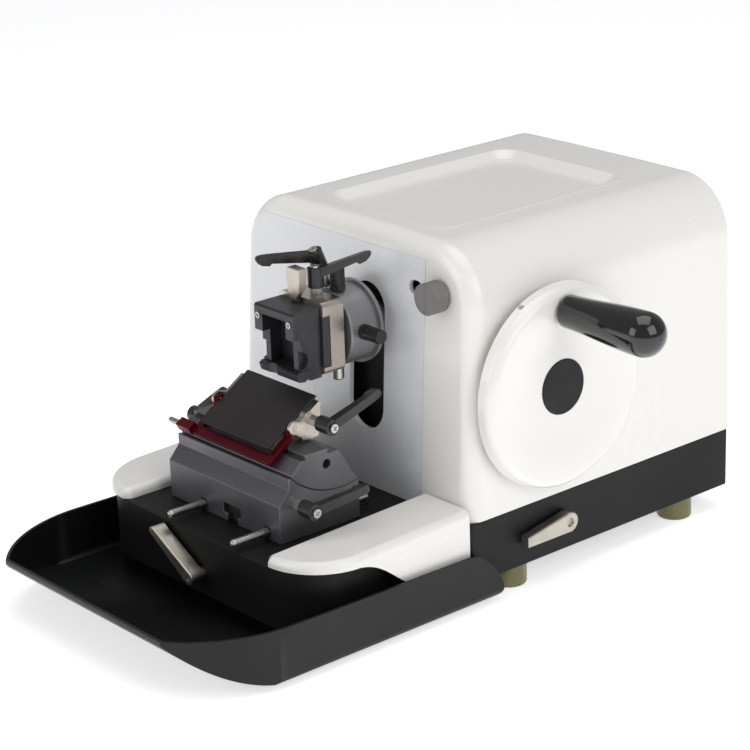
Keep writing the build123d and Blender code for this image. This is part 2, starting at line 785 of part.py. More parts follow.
with BuildPart() as carriage:
    with Locations(((carriage_left_x + carriage_right_x) / 2, rail_y[0], head_z)):
        Box(
            carriage_right_x - carriage_left_x,
            carriage_rear_y - carriage_front_y,
            2 * carriage_half_height,
        )
    with Locations((carriage_left_x, rail_y[0], head_z)):
        with GridLocations(1, rail_y[1], 1, 2):
            Box(
                rail_entry + slide_gap,
                rail_width + 2 * slide_gap,
                2 * carriage_half_height,
                align=(Align.MIN, Align.CENTER, Align.CENTER),
                mode=Mode.SUBTRACT,
            )
    # the yoke slot that the crank pin drives
    with Locations((carriage_right_x, wheel_y, wheel_z + crank_throw)):
        Box(
            8,
            2 * (crank_throw + crank_pin_radius) + 4,
            yoke_height,
            align=(Align.MAX, Align.CENTER, Align.CENTER),
            mode=Mode.SUBTRACT)
    with BuildSketch(facing(carriage_rear_y)):
        with Locations((head_x, head_z)):
            Circle(neck_radius + running_fit)
    extrude(amount=carriage_rear_y - carriage_front_y, mode=Mode.SUBTRACT)
    # rear bracket that holds the feed screw
    with BuildSketch(facing(screw_rear_y - 14)):
        with Locations((head_x, head_z)):
            Circle(14)
        with Locations((head_x, head_z - 20)):
            Rectangle(24, 24)
        with Locations((head_x, head_z)):
            Circle(screw_radius + running_fit, mode=Mode.SUBTRACT)
    extrude(amount=5)
    with BuildSketch(facing(screw_rear_y - 14)):
        with Locations((head_x, head_z - 27)):
            Rectangle(24, 10)
    extrude(amount=screw_rear_y - 14 - carriage_rear_y)
carriage.part.label = "carriage"
export_step(carriage.part, "parts/carriage.step")

shield_half_width = 30.0
shield_y = front_y + 22.0
with BuildPart() as slot_shield:
    with BuildSketch(facing(shield_y)):
        with Locations((head_x, deck_z + 109)):
            Rectangle(2 * shield_half_width, 174)
        with Locations((head_x, head_z)):
            Circle(neck_radius + slide_gap, mode=Mode.SUBTRACT)
    extrude(amount=2)
    # two stays that fix the shield to the carriage
    with Locations((head_x, shield_y, head_z)):
        with GridLocations(54, 1, 2, 1):
            Box(4, carriage_front_y - shield_y, 20, align=(Align.CENTER, Align.MIN, Align.CENTER))
slot_shield.part.label = "slot_shield"
export_step(slot_shield.part, "parts/slot_shield.step")

# Specimen feed: the cylinder slides through the carriage on a lead screw
with BuildPart() as feed_cylinder:
    with BuildSketch(facing(carriage_rear_y + 2)):
        with Locations((head_x, head_z)):
            Circle(neck_radius)
            Circle(screw_radius + running_fit, mode=Mode.SUBTRACT)
    extrude(amount=carriage_rear_y + 2 - flange_y)
    with BuildSketch(facing(screw_front_y - feed_out)):
        with Locations((head_x, head_z)):
            Circle(screw_radius + running_fit)
    extrude(amount=screw_front_y - feed_out - flange_y)
feed_cylinder.part.label = "feed_cylinder"
export_step(feed_cylinder.part, "parts/feed_cylinder.step")

with BuildPart() as feed_screw:
    with BuildSketch(facing(screw_rear_y)):
        with Locations((head_x, head_z)):
            Circle(screw_radius)
    extrude(amount=screw_rear_y - screw_front_y)
feed_screw.part.label = "feed_screw"
export_step(feed_screw.part, "parts/feed_screw.step")

with BuildPart() as ratchet_wheel:
    with BuildSketch(facing(screw_rear_y - 6)):
        with Locations((head_x, head_z)):
            Circle(24)
            with PolarLocations(24, 60):
                Rectangle(1.6, 1.3, mode=Mode.SUBTRACT)
            Circle(screw_radius, mode=Mode.SUBTRACT)
    extrude(amount=5)
ratchet_wheel.part.label = "ratchet_wheel"
export_step(ratchet_wheel.part, "parts/ratchet_wheel.step")

# Coarse feed wheel on the left side
coarse_radius = 38.0
with BuildPart() as coarse_feed_wheel:
    with BuildSketch(side_plane(left_x - left_reach)):
        with Locations((coarse_y, coarse_z)):
            Circle(coarse_radius)
            with PolarLocations(coarse_radius + 3.2, 12):
                Circle(7, mode=Mode.SUBTRACT)
    extrude(amount=coarse_wheel_width)
    fillet(coarse_feed_wheel.edges().group_by(Axis.X)[0], 2)
    with BuildSketch(side_plane(left_x - left_reach)):
        with Locations((coarse_y, coarse_z)):
            Circle(26)
            Circle(11, mode=Mode.SUBTRACT)
    extrude(amount=3, mode=Mode.SUBTRACT)
    with BuildSketch(side_plane(left_x - left_reach)):
        with Locations((coarse_y, coarse_z)):
            Circle(coarse_shaft_radius)
    extrude(amount=coarse_wheel_width, mode=Mode.SUBTRACT)
coarse_feed_wheel.part.label = "coarse_feed_wheel"
export_step(coarse_feed_wheel.part, "parts/coarse_feed_wheel.step")

with BuildPart() as coarse_feed_shaft:
    with BuildSketch(side_plane(left_x - left_reach)):
        with Locations((coarse_y, coarse_z)):
            Circle(coarse_shaft_radius)
    extrude(amount=left_reach + 60)
coarse_feed_shaft.part.label = "coarse_feed_shaft"
export_step(coarse_feed_shaft.part, "parts/coarse_feed_shaft.step")

# Section thickness knob, its shaft and its numbered dial behind the window
knob_radius = 12.5
knob_depth = 14.0
knob_face_y = front_y + (knob_z - deck_z) * tan(radians(front_lean)) - 1.5
dial_radius = 23.0
dial_front_y = front_y + 17.0

with BuildPart() as thickness_knob:
    with BuildSketch(facing(knob_face_y)):
        with Locations((knob_x, knob_z)):
            Circle(knob_radius)
            with PolarLocations(knob_radius, 36):
                Rectangle(0.8, 0.8, mode=Mode.SUBTRACT)
    extrude(amount=knob_depth)
    with BuildSketch(facing(dial_front_y + 12)):
        with Locations((knob_x, knob_z)):
            Circle(knob_shaft_radius)
    extrude(amount=dial_front_y + 12 - knob_face_y)
thickness_knob.part.label = "thickness_knob"
export_step(thickness_knob.part, "parts/thickness_knob.step")

with BuildPart() as thickness_dial:
    with BuildSketch(facing(dial_front_y + 3)):
        with Locations((knob_x, knob_z)):
            Circle(dial_radius)
            Circle(knob_shaft_radius, mode=Mode.SUBTRACT)
    extrude(amount=3)
thickness_dial.part.label = "thickness_dial"
export_step(thickness_dial.part, "parts/thickness_dial.step")

# Orientation head: a round housing on the feed cylinder
head_radius = 31.1
head_flange_radius = 33.8
head_flange = 3.0
head_front_y = front_y - 34.0
ball_radius = 13.0
ball_y = front_y - 36.0
side_knob_y = front_y - 22.0
top_knob_x = centre_x + 25.0
top_knob_y = front_y - 25.5
small_knob_radius = 5.4
small_knob_length = 21.0
plunger_radius = 4.8
plunger_length = 13.0

with BuildPart() as orientation_housing:
    with BuildSketch(facing(flange_y)):
        with Locations((head_x, head_z)):
            Circle(head_flange_radius)
    extrude(amount=head_flange)
    with BuildSketch(facing(flange_y)):
        with Locations((head_x, head_z)):
            Circle(head_radius)
    extrude(amount=flange_y - head_front_y)
    fillet(orientation_housing.edges().sort_by(Axis.Y)[0], 1.2)
    with Locations((head_x, ball_y, head_z)):
        Sphere(ball_radius + seat_gap, mode=Mode.SUBTRACT)
orientation_housing.part.label = "orientation_housing"
export_step(orientation_housing.part, "parts/orientation_housing.step")


def small_knob(plane, length):
    """A knurled collar with a plain round knob on it, growing along the plane's normal."""
    with BuildPart(plane) as knob:
        with BuildSketch(plane):
            Circle(small_knob_radius + 0.7)
            with PolarLocations(small_knob_radius + 0.7, 20):
                Rectangle(0.7, 0.6, mode=Mode.SUBTRACT)
        extrude(amount=4)
        Cylinder(small_knob_radius, length, align=(Align.CENTER, Align.CENTER, Align.MIN))
        fillet(knob.edges().sort_by(lambda e: (e.center() - plane.origin).dot(plane.z_dir))[-1], 0.8)
    return knob.part


side_knob_z = head_z + 1.5
side_adjusting_knob = small_knob(
    Plane((head_x + head_radius + slide_gap, side_knob_y, side_knob_z), x_dir=(0, 1, 0), z_dir=(1, 0, 0)),
    small_knob_length,
)
side_adjusting_knob.label = "side_adjusting_knob"
export_step(side_adjusting_knob, "parts/side_adjusting_knob.step")

top_adjusting_knob = small_knob(
    Plane((top_knob_x, top_knob_y, head_z + head_radius + slide_gap), x_dir=(1, 0, 0), z_dir=(0, 0, 1)),
    small_knob_length,
)
top_adjusting_knob.label = "top_adjusting_knob"
export_step(top_adjusting_knob, "parts/top_adjusting_knob.step")

with BuildPart() as return_plunger:
    with Locations((head_x, side_knob_y - 2, head_z - head_radius - slide_gap)):
        Cylinder(plunger_radius, plunger_length, align=(Align.CENTER, Align.CENTER, Align.MAX))
    fillet(return_plunger.edges().sort_by(Axis.Z)[0], 1.5)
return_plunger.part.label = "return_plunger"
export_step(return_plunger.part, "parts/return_plunger.step")

# Swivel block: a bright C-shaped block with a ball behind it, and a dovetail way across its front
block_half = 26.5
block_top_z = head_z + 31.4
block_rear_y = front_y - 38.0
block_front_y = front_y - 58.5
dovetail_half = 20.5
dovetail_depth = 7.0

with BuildPart() as swivel_block:
    with BuildSketch(facing(block_rear_y)):
        with Locations((head_x, (block_top_z + head_z - block_half) / 2)):
            RectangleRounded(2 * block_half, block_top_z - head_z + block_half, 4.5)
    extrude(amount=block_rear_y - block_front_y)
    with Locations((head_x, block_front_y, head_z)):
        Box(
            2 * block_half,
            dovetail_depth,
            2 * dovetail_half,
            align=(Align.CENTER, Align.MIN, Align.CENTER),
            mode=Mode.SUBTRACT,
        )
    with Locations((head_x, ball_y, head_z)):
        Sphere(ball_radius)
swivel_block.part.label = "swivel_block"
export_step(swivel_block.part, "parts/swivel_block.step")

# Cassette clamp: dovetail, body with an open jaw, moving lower jaw and its thumb lever
clamp_x = centre_x + 19.0
clamp_half = 23.5
clamp_rear_y = block_front_y - seat_gap
clamp_front_y = front_y - 85.0
clamp_leg_y = front_y - 78.0
clamp_top_z = head_z + 27.4
clamp_bottom_z = head_z - 28.5
clamp_pocket_half = 14.0
clamp_pocket_top = head_z + 20.5
clamp_pocket_bottom = head_z - 19.5
clamp_pocket_y = front_y - 66.0
jaw_front_y = front_y - 83.0
jaw_top_z = clamp_pocket_bottom - seat_gap

with BuildPart() as cassette_clamp:
    with BuildSketch(level(clamp_bottom_z)):
        with Locations((clamp_x, (clamp_rear_y + clamp_leg_y) / 2)):
            Rectangle(2 * clamp_half, clamp_rear_y - clamp_leg_y)
    extrude(amount=clamp_top_z - clamp_bottom_z)
    # dovetail at the back
    with Locations((head_x, block_front_y, head_z)):
        Box(
            2 * block_half - 1,
            dovetail_depth - slide_gap,
            2 * (dovetail_half - slide_gap),
            align=(Align.CENTER, Align.MIN, Align.CENTER),
        )
    with Locations((clamp_x, block_front_y, head_z)):
        Box(
            2 * clamp_half - 8,
            seat_gap,
            2 * (dovetail_half - slide_gap),
            align=(Align.CENTER, Align.MAX, Align.CENTER),
        )
    # the two front legs and the bar over them
    with Locations((clamp_x, clamp_leg_y, clamp_top_z)):
        Box(2 * clamp_half, clamp_leg_y - clamp_front_y, 21, align=(Align.CENTER, Align.MAX, Align.MAX))
    chamfer(cassette_clamp.edges().filter_by(Axis.X).group_by(Axis.Z)[-1].sort_by(Axis.Y)[0], 1.5)
    # open pocket for the specimen cassette
    with Locations((clamp_x, clamp_pocket_y, (clamp_pocket_top + clamp_pocket_bottom) / 2)):
        Box(
            2 * clamp_pocket_half,
            clamp_pocket_y - clamp_front_y + 1,
            clamp_pocket_top - clamp_pocket_bottom,
            align=(Align.CENTER, Align.MAX, Align.CENTER),
            mode=Mode.SUBTRACT,
        )
    # finger reliefs in both sides
    with Locations(
        Location((clamp_x - clamp_half, clamp_leg_y - 1, head_z - 11), (0, 90, 0)),
        Location((clamp_x + clamp_half, clamp_leg_y - 1, head_z - 11), (0, 90, 0)),
    ):
        Cylinder(7.5, 8, mode=Mode.SUBTRACT)
    # room for the moving jaw
    with Locations((clamp_x, clamp_pocket_y - 4, jaw_top_z + seat_gap)):
        Box(2 * clamp_half, 40, 20, align=(Align.CENTER, Align.MAX, Align.MAX), mode=Mode.SUBTRACT)
cassette_clamp.part.label = "cassette_clamp"
export_step(cassette_clamp.part, "parts/cassette_clamp.step")

with BuildPart() as clamp_screws:
    with BuildSketch(facing(clamp_front_y)):
        with Locations((clamp_x, head_z + 18.5)):
            with GridLocations(37.5, 1, 2, 1):
                Circle(2.6)
                Rectangle(3.2, 0.7, mode=Mode.SUBTRACT)
                Rectangle(0.7, 3.2, mode=Mode.SUBTRACT)
    extrude(amount=0.8)
clamp_screws.part.label = "clamp_screws"
export_step(clamp_screws.part, "parts/clamp_screws.step")

with BuildPart() as clamp_jaw:
    with BuildSketch(side_plane(clamp_x - clamp_half)):
        with BuildLine():
            back = clamp_pocket_y - 4 - seat_gap
            Polyline(
                (back, jaw_top_z),
                (jaw_front_y + 3, jaw_top_z),
                (jaw_front_y, jaw_top_z - 2),
                (jaw_front_y + 2, clamp_bottom_z + 1),
                (back - 5, clamp_bottom_z),
                (back, clamp_bottom_z + 3),
                close=True,
            )
        make_face()
    extrude(amount=2 * clamp_half)
    with Locations(Location((clamp_x - 8, jaw_front_y - 3, clamp_bottom_z + 4), (0, 0, 0))):
        Cylinder(7, 20, mode=Mode.SUBTRACT)
clamp_jaw.part.label = "clamp_jaw"
export_step(clamp_jaw.part, "parts/clamp_jaw.step")

thumb_x = centre_x + 17.4
thumb_y = front_y - 61.5
thumb_width = 16.0
thumb_foot = 4.5
thumb_thickness = 8.0
thumb_height = 27.3
thumb_front_y = thumb_y - thumb_foot / 2
with BuildPart() as jaw_lever:
    with BuildSketch(facing(thumb_front_y + thumb_thickness)):
        with BuildLine():
            foot_z = clamp_top_z + seat_gap
            Polyline(
                (thumb_x - 4, foot_z),
                (thumb_x - 4, foot_z + 3),
                (thumb_x - thumb_width / 2 + 1.5, foot_z + 9),
                (thumb_x - thumb_width / 2, foot_z + thumb_height),
                (thumb_x + thumb_width / 2, foot_z + thumb_height - 0.7),
                (thumb_x + thumb_width / 2 - 1, foot_z + 8),
                (thumb_x + 4, foot_z + 3),
                (thumb_x + 4, foot_z),
                close=True,
            )
        make_face()
    extrude(amount=thumb_thickness)
    # the foot is thinner than the plate above it
    with BuildSketch(side_plane(thumb_x - thumb_width)):
        with BuildLine():
            Polyline(
                (thumb_front_y + thumb_foot, foot_z - 1),
                (thumb_front_y + thumb_foot, foot_z + 7),
                (thumb_front_y + thumb_thickness, foot_z + 12),
                (thumb_front_y + thumb_thickness + 1, foot_z - 1),
                close=True,
            )
        make_face()
    extrude(amount=2 * thumb_width, mode=Mode.SUBTRACT)
    chamfer(jaw_lever.edges().filter_by(Axis.Y).group_by(Axis.Z)[-1], 2.5)
    # the foot is cut back on both sides so that the plate can tilt
    chamfer(jaw_lever.edges().filter_by(Axis.X).group_by(Axis.Z)[0], 1.6)
jaw_lever.part.label = "jaw_lever"
export_step(jaw_lever.part, "parts/jaw_lever.step")

# Clamp levers: a moulded lever on a steel stud with a cross-head screw at its end
orientation_collar = 16.5
carrier_collar = 5.0
segment_collar = 10.0
blade_collar = 12.0
lateral_collar = 4.0
lever_collar_radius = 4.0
lever_core_radius = 3.0
lever_hub_radius = 6.5
lever_hub_height = 15.5
lever_length = 44.0
lever_rise = 21.0
lever_screw_height = 2.0
lever_screw_radius = 3.6


def lever_stud(plane, collar):
    """Hexagon collar, core and screw head of a clamp lever."""
    hub_end = collar + lever_hub_height
    with BuildPart(plane) as stud:
        with BuildSketch(plane):
            RegularPolygon(lever_collar_radius, 6, major_radius=False)
        extrude(amount=collar)
        Cylinder(lever_core_radius, hub_end, align=(Align.CENTER, Align.CENTER, Align.MIN))
        with BuildSketch(Plane(plane.origin + plane.z_dir * (hub_end + slide_gap), plane.x_dir, plane.z_dir)):
            Circle(lever_screw_radius)
            Rectangle(4.4, 0.9, mode=Mode.SUBTRACT)
            Rectangle(0.9, 4.4, mode=Mode.SUBTRACT)
        extrude(amount=lever_screw_height)
        with BuildSketch(Plane(plane.origin + plane.z_dir * hub_end, plane.x_dir, plane.z_dir)):
            Circle(lever_core_radius)
        extrude(amount=slide_gap + 0.8)
    return stud.part


def clamp_lever(plane, collar):
    """Moulded lever: a round hub and an arm that rises from its outer end to a thicker, rounded tip."""
    slope = tan(radians(lever_rise))
    top = collar + lever_hub_height - 1
    tip = lever_length

    def under_top(along, drop):
        return (along, top + along * slope - drop)

    with BuildPart(plane) as lever:
        with BuildSketch(Plane(plane.origin, plane.x_dir, plane.x_dir.cross(plane.z_dir))):
            with BuildLine():
                Polyline(
                    under_top(0, 8),
                    under_top(0, 0),
                    under_top(tip - 11, 0),
                    under_top(tip - 5, 0.4),
                    under_top(tip - 1, 1.6),
                    under_top(tip, 3),
                    under_top(tip - 1, 5.3),
                    under_top(tip - 3.5, 7.2),
                    under_top(tip - 8.7, 7.9),
                    under_top(tip - 11, 5.6),
                    under_top(6, 7.6),
                    close=True,
                )
            make_face()
        extrude(amount=4.3, both=True)
        with BuildSketch(plane):
            with BuildLine():
                Polyline((tip - 4.2, 3.5), (-1, 4.0), (-1, -4.0), (tip - 4.2, -3.5))
                ThreePointArc((tip - 4.2, -3.5), (tip, 0), (tip - 4.2, 3.5))
            make_face()
        extrude(amount=3 * lever_length, mode=Mode.INTERSECT)
        with Locations((0, 0, collar + slide_gap)):
            Cylinder(
                lever_hub_radius,
                lever_hub_height - slide_gap,
                align=(Align.CENTER, Align.CENTER, Align.MIN),
            )
        rims = lever.edges().filter_by(GeomType.CIRCLE)
        outer = rims.filter_by(lambda e: e.length > 2 * lever_hub_radius)
        low_rim = outer.sort_by(lambda e: (e.center() - plane.origin).dot(plane.z_dir))[0]
        fillet(low_rim, 1)
        Cylinder(
            lever_core_radius + running_fit,
            6 * lever_hub_height,
            mode=Mode.SUBTRACT,
        )
        # spot face under the screw head
        with Locations((0, 0, collar + lever_hub_height)):
            Cylinder(
                lever_screw_radius + seat_gap,
                lever_screw_height + 1,
                align=(Align.CENTER, Align.CENTER, Align.MIN),
                mode=Mode.SUBTRACT,
            )
    return lever.part


def arm_plane(origin, axis, arm):
    """Plane at a stud's seat: normal along the stud, x along the arm's direction."""
    axis = Vector(*axis).normalized()
    arm = Vector(*arm)
    flat = arm - axis * arm.dot(axis)
    return Plane(origin, x_dir=flat, z_dir=axis)


orientation_tilt = 22.8
orientation_x = centre_x + 13.0
orientation_axis = (0, -sin(radians(orientation_tilt)), cos(radians(orientation_tilt)))
orientation_foot = Vector(orientation_x, front_y - 25.5, head_z + head_radius)
orientation_seat = orientation_foot + Vector(*orientation_axis) * 1.5
orientation_plane = arm_plane(orientation_seat, orientation_axis, (-21.4, -35.4, -14.9))
carrier_plane = arm_plane((centre_x + 22.4, front_y - 44.9, block_top_z), (0, 0, 1), (34, 28, 0))

orientation_lever = clamp_lever(orientation_plane, orientation_collar)
orientation_lever.label = "orientation_lever"
export_step(orientation_lever, "parts/orientation_lever.step")
orientation_stud = lever_stud(orientation_plane, orientation_collar)
orientation_stud.label = "orientation_stud"
export_step(orientation_stud, "parts/orientation_stud.step")
carrier_lever = clamp_lever(carrier_plane, carrier_collar)
carrier_lever.label = "carrier_lever"
export_step(carrier_lever, "parts/carrier_lever.step")
carrier_stud = lever_stud(carrier_plane, carrier_collar)
carrier_stud.label = "carrier_stud"
export_step(carrier_stud, "parts/carrier_stud.step")

# Knife holder base on its rods and clamp rail
holder_x = centre_x - 1.0
holder_half = 70.0
holder_front_y = front_y - 126.5
holder_rear_y = front_y - 47.5
edge_y = front_y - 65.0
edge_z = deck_z + 98.0
arc_radius = 68.0
arc_front_y = front_y - 114.0
rail_stem = 12.0
rail_head = 21.0
rail_stem_height = 7.0
rail_head_height = 7.5
holder_lift = 0.15


def arc_z(y, radius):
    """Height of the round seat under the blade edge, at depth y."""
    return edge_z - sqrt(radius**2 - (y - edge_y) ** 2)


with BuildPart() as guide_rods:
    with BuildSketch(facing(guide_rear_y)):
        with Locations((rods_x, deck_z + rod_height)):
            with GridLocations(2 * rod_offset, 1, 2, 1):
                Circle(rod_radius)
    extrude(amount=guide_rear_y - (front_y - 161.5))
    fillet(guide_rods.edges().group_by(Axis.Y)[0], rod_radius - 0.4)
guide_rods.part.label = "guide_rods"
export_step(guide_rods.part, "parts/guide_rods.step")

with BuildPart() as clamp_rail:
    with BuildSketch(facing(guide_rear_y)):
        with Locations((deck_lever_x, deck_z)):
            Rectangle(rail_stem, rail_stem_height + 1, align=(Align.CENTER, Align.MIN))
        with Locations((deck_lever_x, deck_z + rail_stem_height)):
            Rectangle(rail_head, rail_head_height, align=(Align.CENTER, Align.MIN))
    extrude(amount=guide_rear_y - (front_y - 122.0))
clamp_rail.part.label = "clamp_rail"
export_step(clamp_rail.part, "parts/clamp_rail.step")

with BuildPart() as holder_base:
    with BuildSketch(side_plane(holder_x - holder_half)):
        with BuildLine():
            Polyline(
                (holder_rear_y, arc_z(holder_rear_y, arc_radius)),
                (holder_rear_y, deck_z + holder_lift),
                (holder_front_y, deck_z + holder_lift),
                (holder_front_y, deck_z + 31),
                (holder_front_y + 10, deck_z + 42),
                (holder_front_y + 10, arc_z(arc_front_y, arc_radius)),
                (arc_front_y, arc_z(arc_front_y, arc_radius)),
            )
            middle_y = (arc_front_y + holder_rear_y) / 2
            ThreePointArc(
                (arc_front_y, arc_z(arc_front_y, arc_radius)),
                (middle_y, arc_z(middle_y, arc_radius)),
                (holder_rear_y, arc_z(holder_rear_y, arc_radius)),
            )
        make_face()
    extrude(amount=2 * holder_half)
    # channels over the rods and the clamp rail
    with BuildSketch(facing(holder_rear_y + 1)):
        with Locations((rods_x, deck_z)):
            with GridLocations(2 * rod_offset, 1, 2, 1):
                Rectangle(2 * rod_radius + 2 * seat_gap, 2 * (rod_height + rod_radius + seat_gap))
        with Locations((deck_lever_x, deck_z)):
            Rectangle(rail_stem + 2 * seat_gap, 2 * rail_stem_height + 2)
        with Locations((deck_lever_x, deck_z + rail_stem_height - seat_gap)):
            Rectangle(
                rail_head + 2 * seat_gap,
                rail_head_height + 2 * seat_gap,
                align=(Align.CENTER, Align.MIN),
            )
    extrude(amount=holder_rear_y - holder_front_y + 2, mode=Mode.SUBTRACT)
holder_base.part.label = "holder_base"
export_step(holder_base.part, "parts/holder_base.step")

# Segment: turns on the round seat about the blade edge, for the clearance angle
segment_gap = 0.3
dovetail_front_y = front_y - 99.0
dovetail_rear_y = front_y - 78.0
dovetail_base_z = deck_z + 61.8
dovetail_top_z = deck_z + 66.0
segment_radius = arc_radius - segment_gap
with BuildPart() as segment:
    with BuildSketch(side_plane(holder_x - holder_half)):
        with BuildLine():
            rear_end = holder_rear_y
            front_end = arc_front_y + 1
            Polyline(
                (front_end, arc_z(front_end, segment_radius)),
                (front_end, deck_z + 52.5),
                (front_y - 103.5, dovetail_base_z),
                (dovetail_front_y, dovetail_base_z),
                (dovetail_front_y - 1.5, dovetail_top_z),
                (dovetail_rear_y + 1.5, dovetail_top_z),
                (dovetail_rear_y, dovetail_base_z),
                (front_y - 66.5, dovetail_base_z),
                (front_y - 60.5, deck_z + 52.5),
                (front_y - 52.5, deck_z + 38.2),
                (rear_end, arc_z(rear_end, segment_radius)),
            )
            seat_middle = (front_end + rear_end) / 2
            ThreePointArc(
                (rear_end, arc_z(rear_end, segment_radius)),
                (seat_middle, arc_z(seat_middle, segment_radius)),
                (front_end, arc_z(front_end, segment_radius)),
            )
        make_face()
    extrude(amount=2 * holder_half)
    with Locations(Location((holder_x + holder_half, front_y - 78.8, deck_z + 53.2), (0, 90, 0))):
        Cylinder(3.6, 16, mode=Mode.SUBTRACT)
segment.part.label = "segment"
export_step(segment.part, "parts/segment.step")

# Blade clamp: a wedge block that slides sideways on the segment's dovetail
plate_half = 42.5
plate_low = (front_y - 113.7, deck_z + 67.6)
plate_slope = 32.1
plate_length = 57.5
plate_thickness = 2.6
cheek_width = 7.0
blade_depth = 0.3
wedge_half = plate_half - 0.5
guard_pivot = (front_y - 91.5, deck_z + 80.1)
guard_inner = plate_half + seat_gap
guard_tab_width = 3.5
guard_tab_radius = 3.8
guard_ear_radius = 5.5
guard_pin_radius = 2.0
ear_inner = guard_inner + guard_tab_width + slide_gap
blade_stud_seat = (front_y - 76.4, deck_z + 83.5)
plate_dir = (cos(radians(plate_slope)), sin(radians(plate_slope)))
plate_up = (-plate_dir[1], plate_dir[0])


def on_plate(along, above):
    """A point in the side view: along the pressure plate's slope, and above its top face."""
    return (
        plate_low[0] + along * plate_dir[0] + above * plate_up[0],
        plate_low[1] + along * plate_dir[1] + above * plate_up[1],
    )


with BuildPart() as blade_clamp:
    under = -(plate_thickness + blade_depth)
    with BuildSketch(side_plane(holder_x - wedge_half)):
        with BuildLine():
            Polyline(
                on_plate(5, under),
                (front_y - 105, dovetail_base_z + slide_gap),
                (dovetail_front_y - slide_gap, dovetail_base_z + slide_gap),
                (dovetail_front_y - 1.5 - slide_gap, dovetail_top_z + slide_gap),
                (dovetail_rear_y + 1.5 + slide_gap, dovetail_top_z + slide_gap),
                (dovetail_rear_y + slide_gap, dovetail_base_z + slide_gap),
                (front_y - 69, dovetail_base_z + slide_gap),
                (front_y - 67, dovetail_base_z + 12),
                on_plate(plate_length - 1.5, under),
                close=True,
            )
        make_face()
    extrude(amount=2 * wedge_half)
    for start in (holder_x - wedge_half - cheek_width, holder_x + wedge_half):
        with BuildSketch(side_plane(start)):
            with BuildLine():
                Polyline(
                    (front_y - 85, dovetail_base_z + 6),
                    (front_y - 69, dovetail_base_z + 6),
                    (front_y - 67, dovetail_base_z + 12),
                    on_plate(plate_length - 3, under),
                    on_plate(31, under),
                    (front_y - 85, dovetail_base_z + 15),
                    close=True,
                )
            make_face()
        extrude(amount=cheek_width)
    # the right cheek rises beside the plate, with a boss for the blade lever's stud
    with BuildSketch(side_plane(holder_x + guard_inner)):
        with BuildLine():
            Polyline(
                on_plate(30, -1),
                on_plate(plate_length - 3, -1),
                on_plate(plate_length - 3, under - 2),
                on_plate(30, under - 2),
                close=True,
            )
        make_face()
        with Locations(blade_stud_seat):
            Circle(6.4)
    extrude(amount=wedge_half + cheek_width - guard_inner)
    # an ear round each pivot of the guard
    for start in (holder_x - wedge_half - cheek_width, holder_x + ear_inner):
        with BuildSketch(side_plane(start)):
            with BuildLine():
                Polyline(
                    (guard_pivot[0], guard_pivot[1] + guard_ear_radius),
                    (guard_pivot[0], guard_pivot[1] - guard_ear_radius),
                    (front_y - 84, dovetail_base_z + 8),
                    (front_y - 80, dovetail_base_z + 14),
                    on_plate(34, under),
                    close=True,
                )
            make_face()
            with Locations(guard_pivot):
                Circle(guard_ear_radius)
                Circle(guard_pin_radius + running_fit, mode=Mode.SUBTRACT)
        extrude(amount=wedge_half + cheek_width - ear_inner)
    # seat for the blade along the top edge
    with BuildSketch(side_plane(holder_x - guard_inner)):
        with BuildLine():
            Polyline(
                on_plate(plate_length - 9, under),
                on_plate(plate_length - 9, under - 0.3),
                on_plate(plate_length, under - 0.3),
                on_plate(plate_length, under + 1),
                close=True,
            )
        make_face()
    extrude(amount=2 * guard_inner, mode=Mode.SUBTRACT)
blade_clamp.part.label = "blade_clamp"
export_step(blade_clamp.part, "parts/blade_clamp.step")

with BuildPart() as pressure_plate:
    with BuildSketch(side_plane(holder_x - plate_half)):
        with BuildLine():
            Polyline(
                on_plate(0, 0),
                on_plate(plate_length, 0),
                on_plate(plate_length + 0.6, -1.2),
                on_plate(plate_length - 4, -plate_thickness),
                on_plate(0, -plate_thickness),
                close=True,
            )
        make_face()
    extrude(amount=2 * plate_half)
    fillet(pressure_plate.edges().filter_by(lambda e: e.length < 4).group_by(Axis.Y)[0], 1.2)
pressure_plate.part.label = "pressure_plate"
export_step(pressure_plate.part, "parts/pressure_plate.step")

blade_half = 40.0
with BuildPart() as blade:
    with BuildSketch(side_plane(holder_x - blade_half)):
        with BuildLine():
            Polyline(
                on_plate(plate_length - 8, under - 0.02),
                on_plate(plate_length - 8, under - 0.27),
                on_plate(plate_length - 1, under - 0.27),
                on_plate(plate_length + 1.6, under - 0.14),
                on_plate(plate_length - 1, under - 0.02),
                close=True,
            )
        make_face()
    extrude(amount=2 * blade_half)
blade.part.label = "blade"
export_step(blade.part, "parts/blade.step")

# Finger guard: a U-shaped frame round the plate that swings up over the blade edge
guard_arm_width = 6.6
guard_bar = (on_plate(-9, -9.2), on_plate(-9, -5.5), on_plate(-0.8, -5.5), on_plate(-0.8, -9.2))
guard_arm = (
    on_plate(-9, -9.2),
    on_plate(-9, -5.5),
    on_plate(18, -4),
    on_plate(19, -5.5),
    on_plate(19, -7.4),
    on_plate(3, -8.5),
    on_plate(-0.8, -9.2),
)
guard_tab = (
    on_plate(15, -7.4),
    on_plate(15, -4.5),
    on_plate(23.6, 2.1),
    on_plate(25.4, -5),
    on_plate(19, -7.6),
)

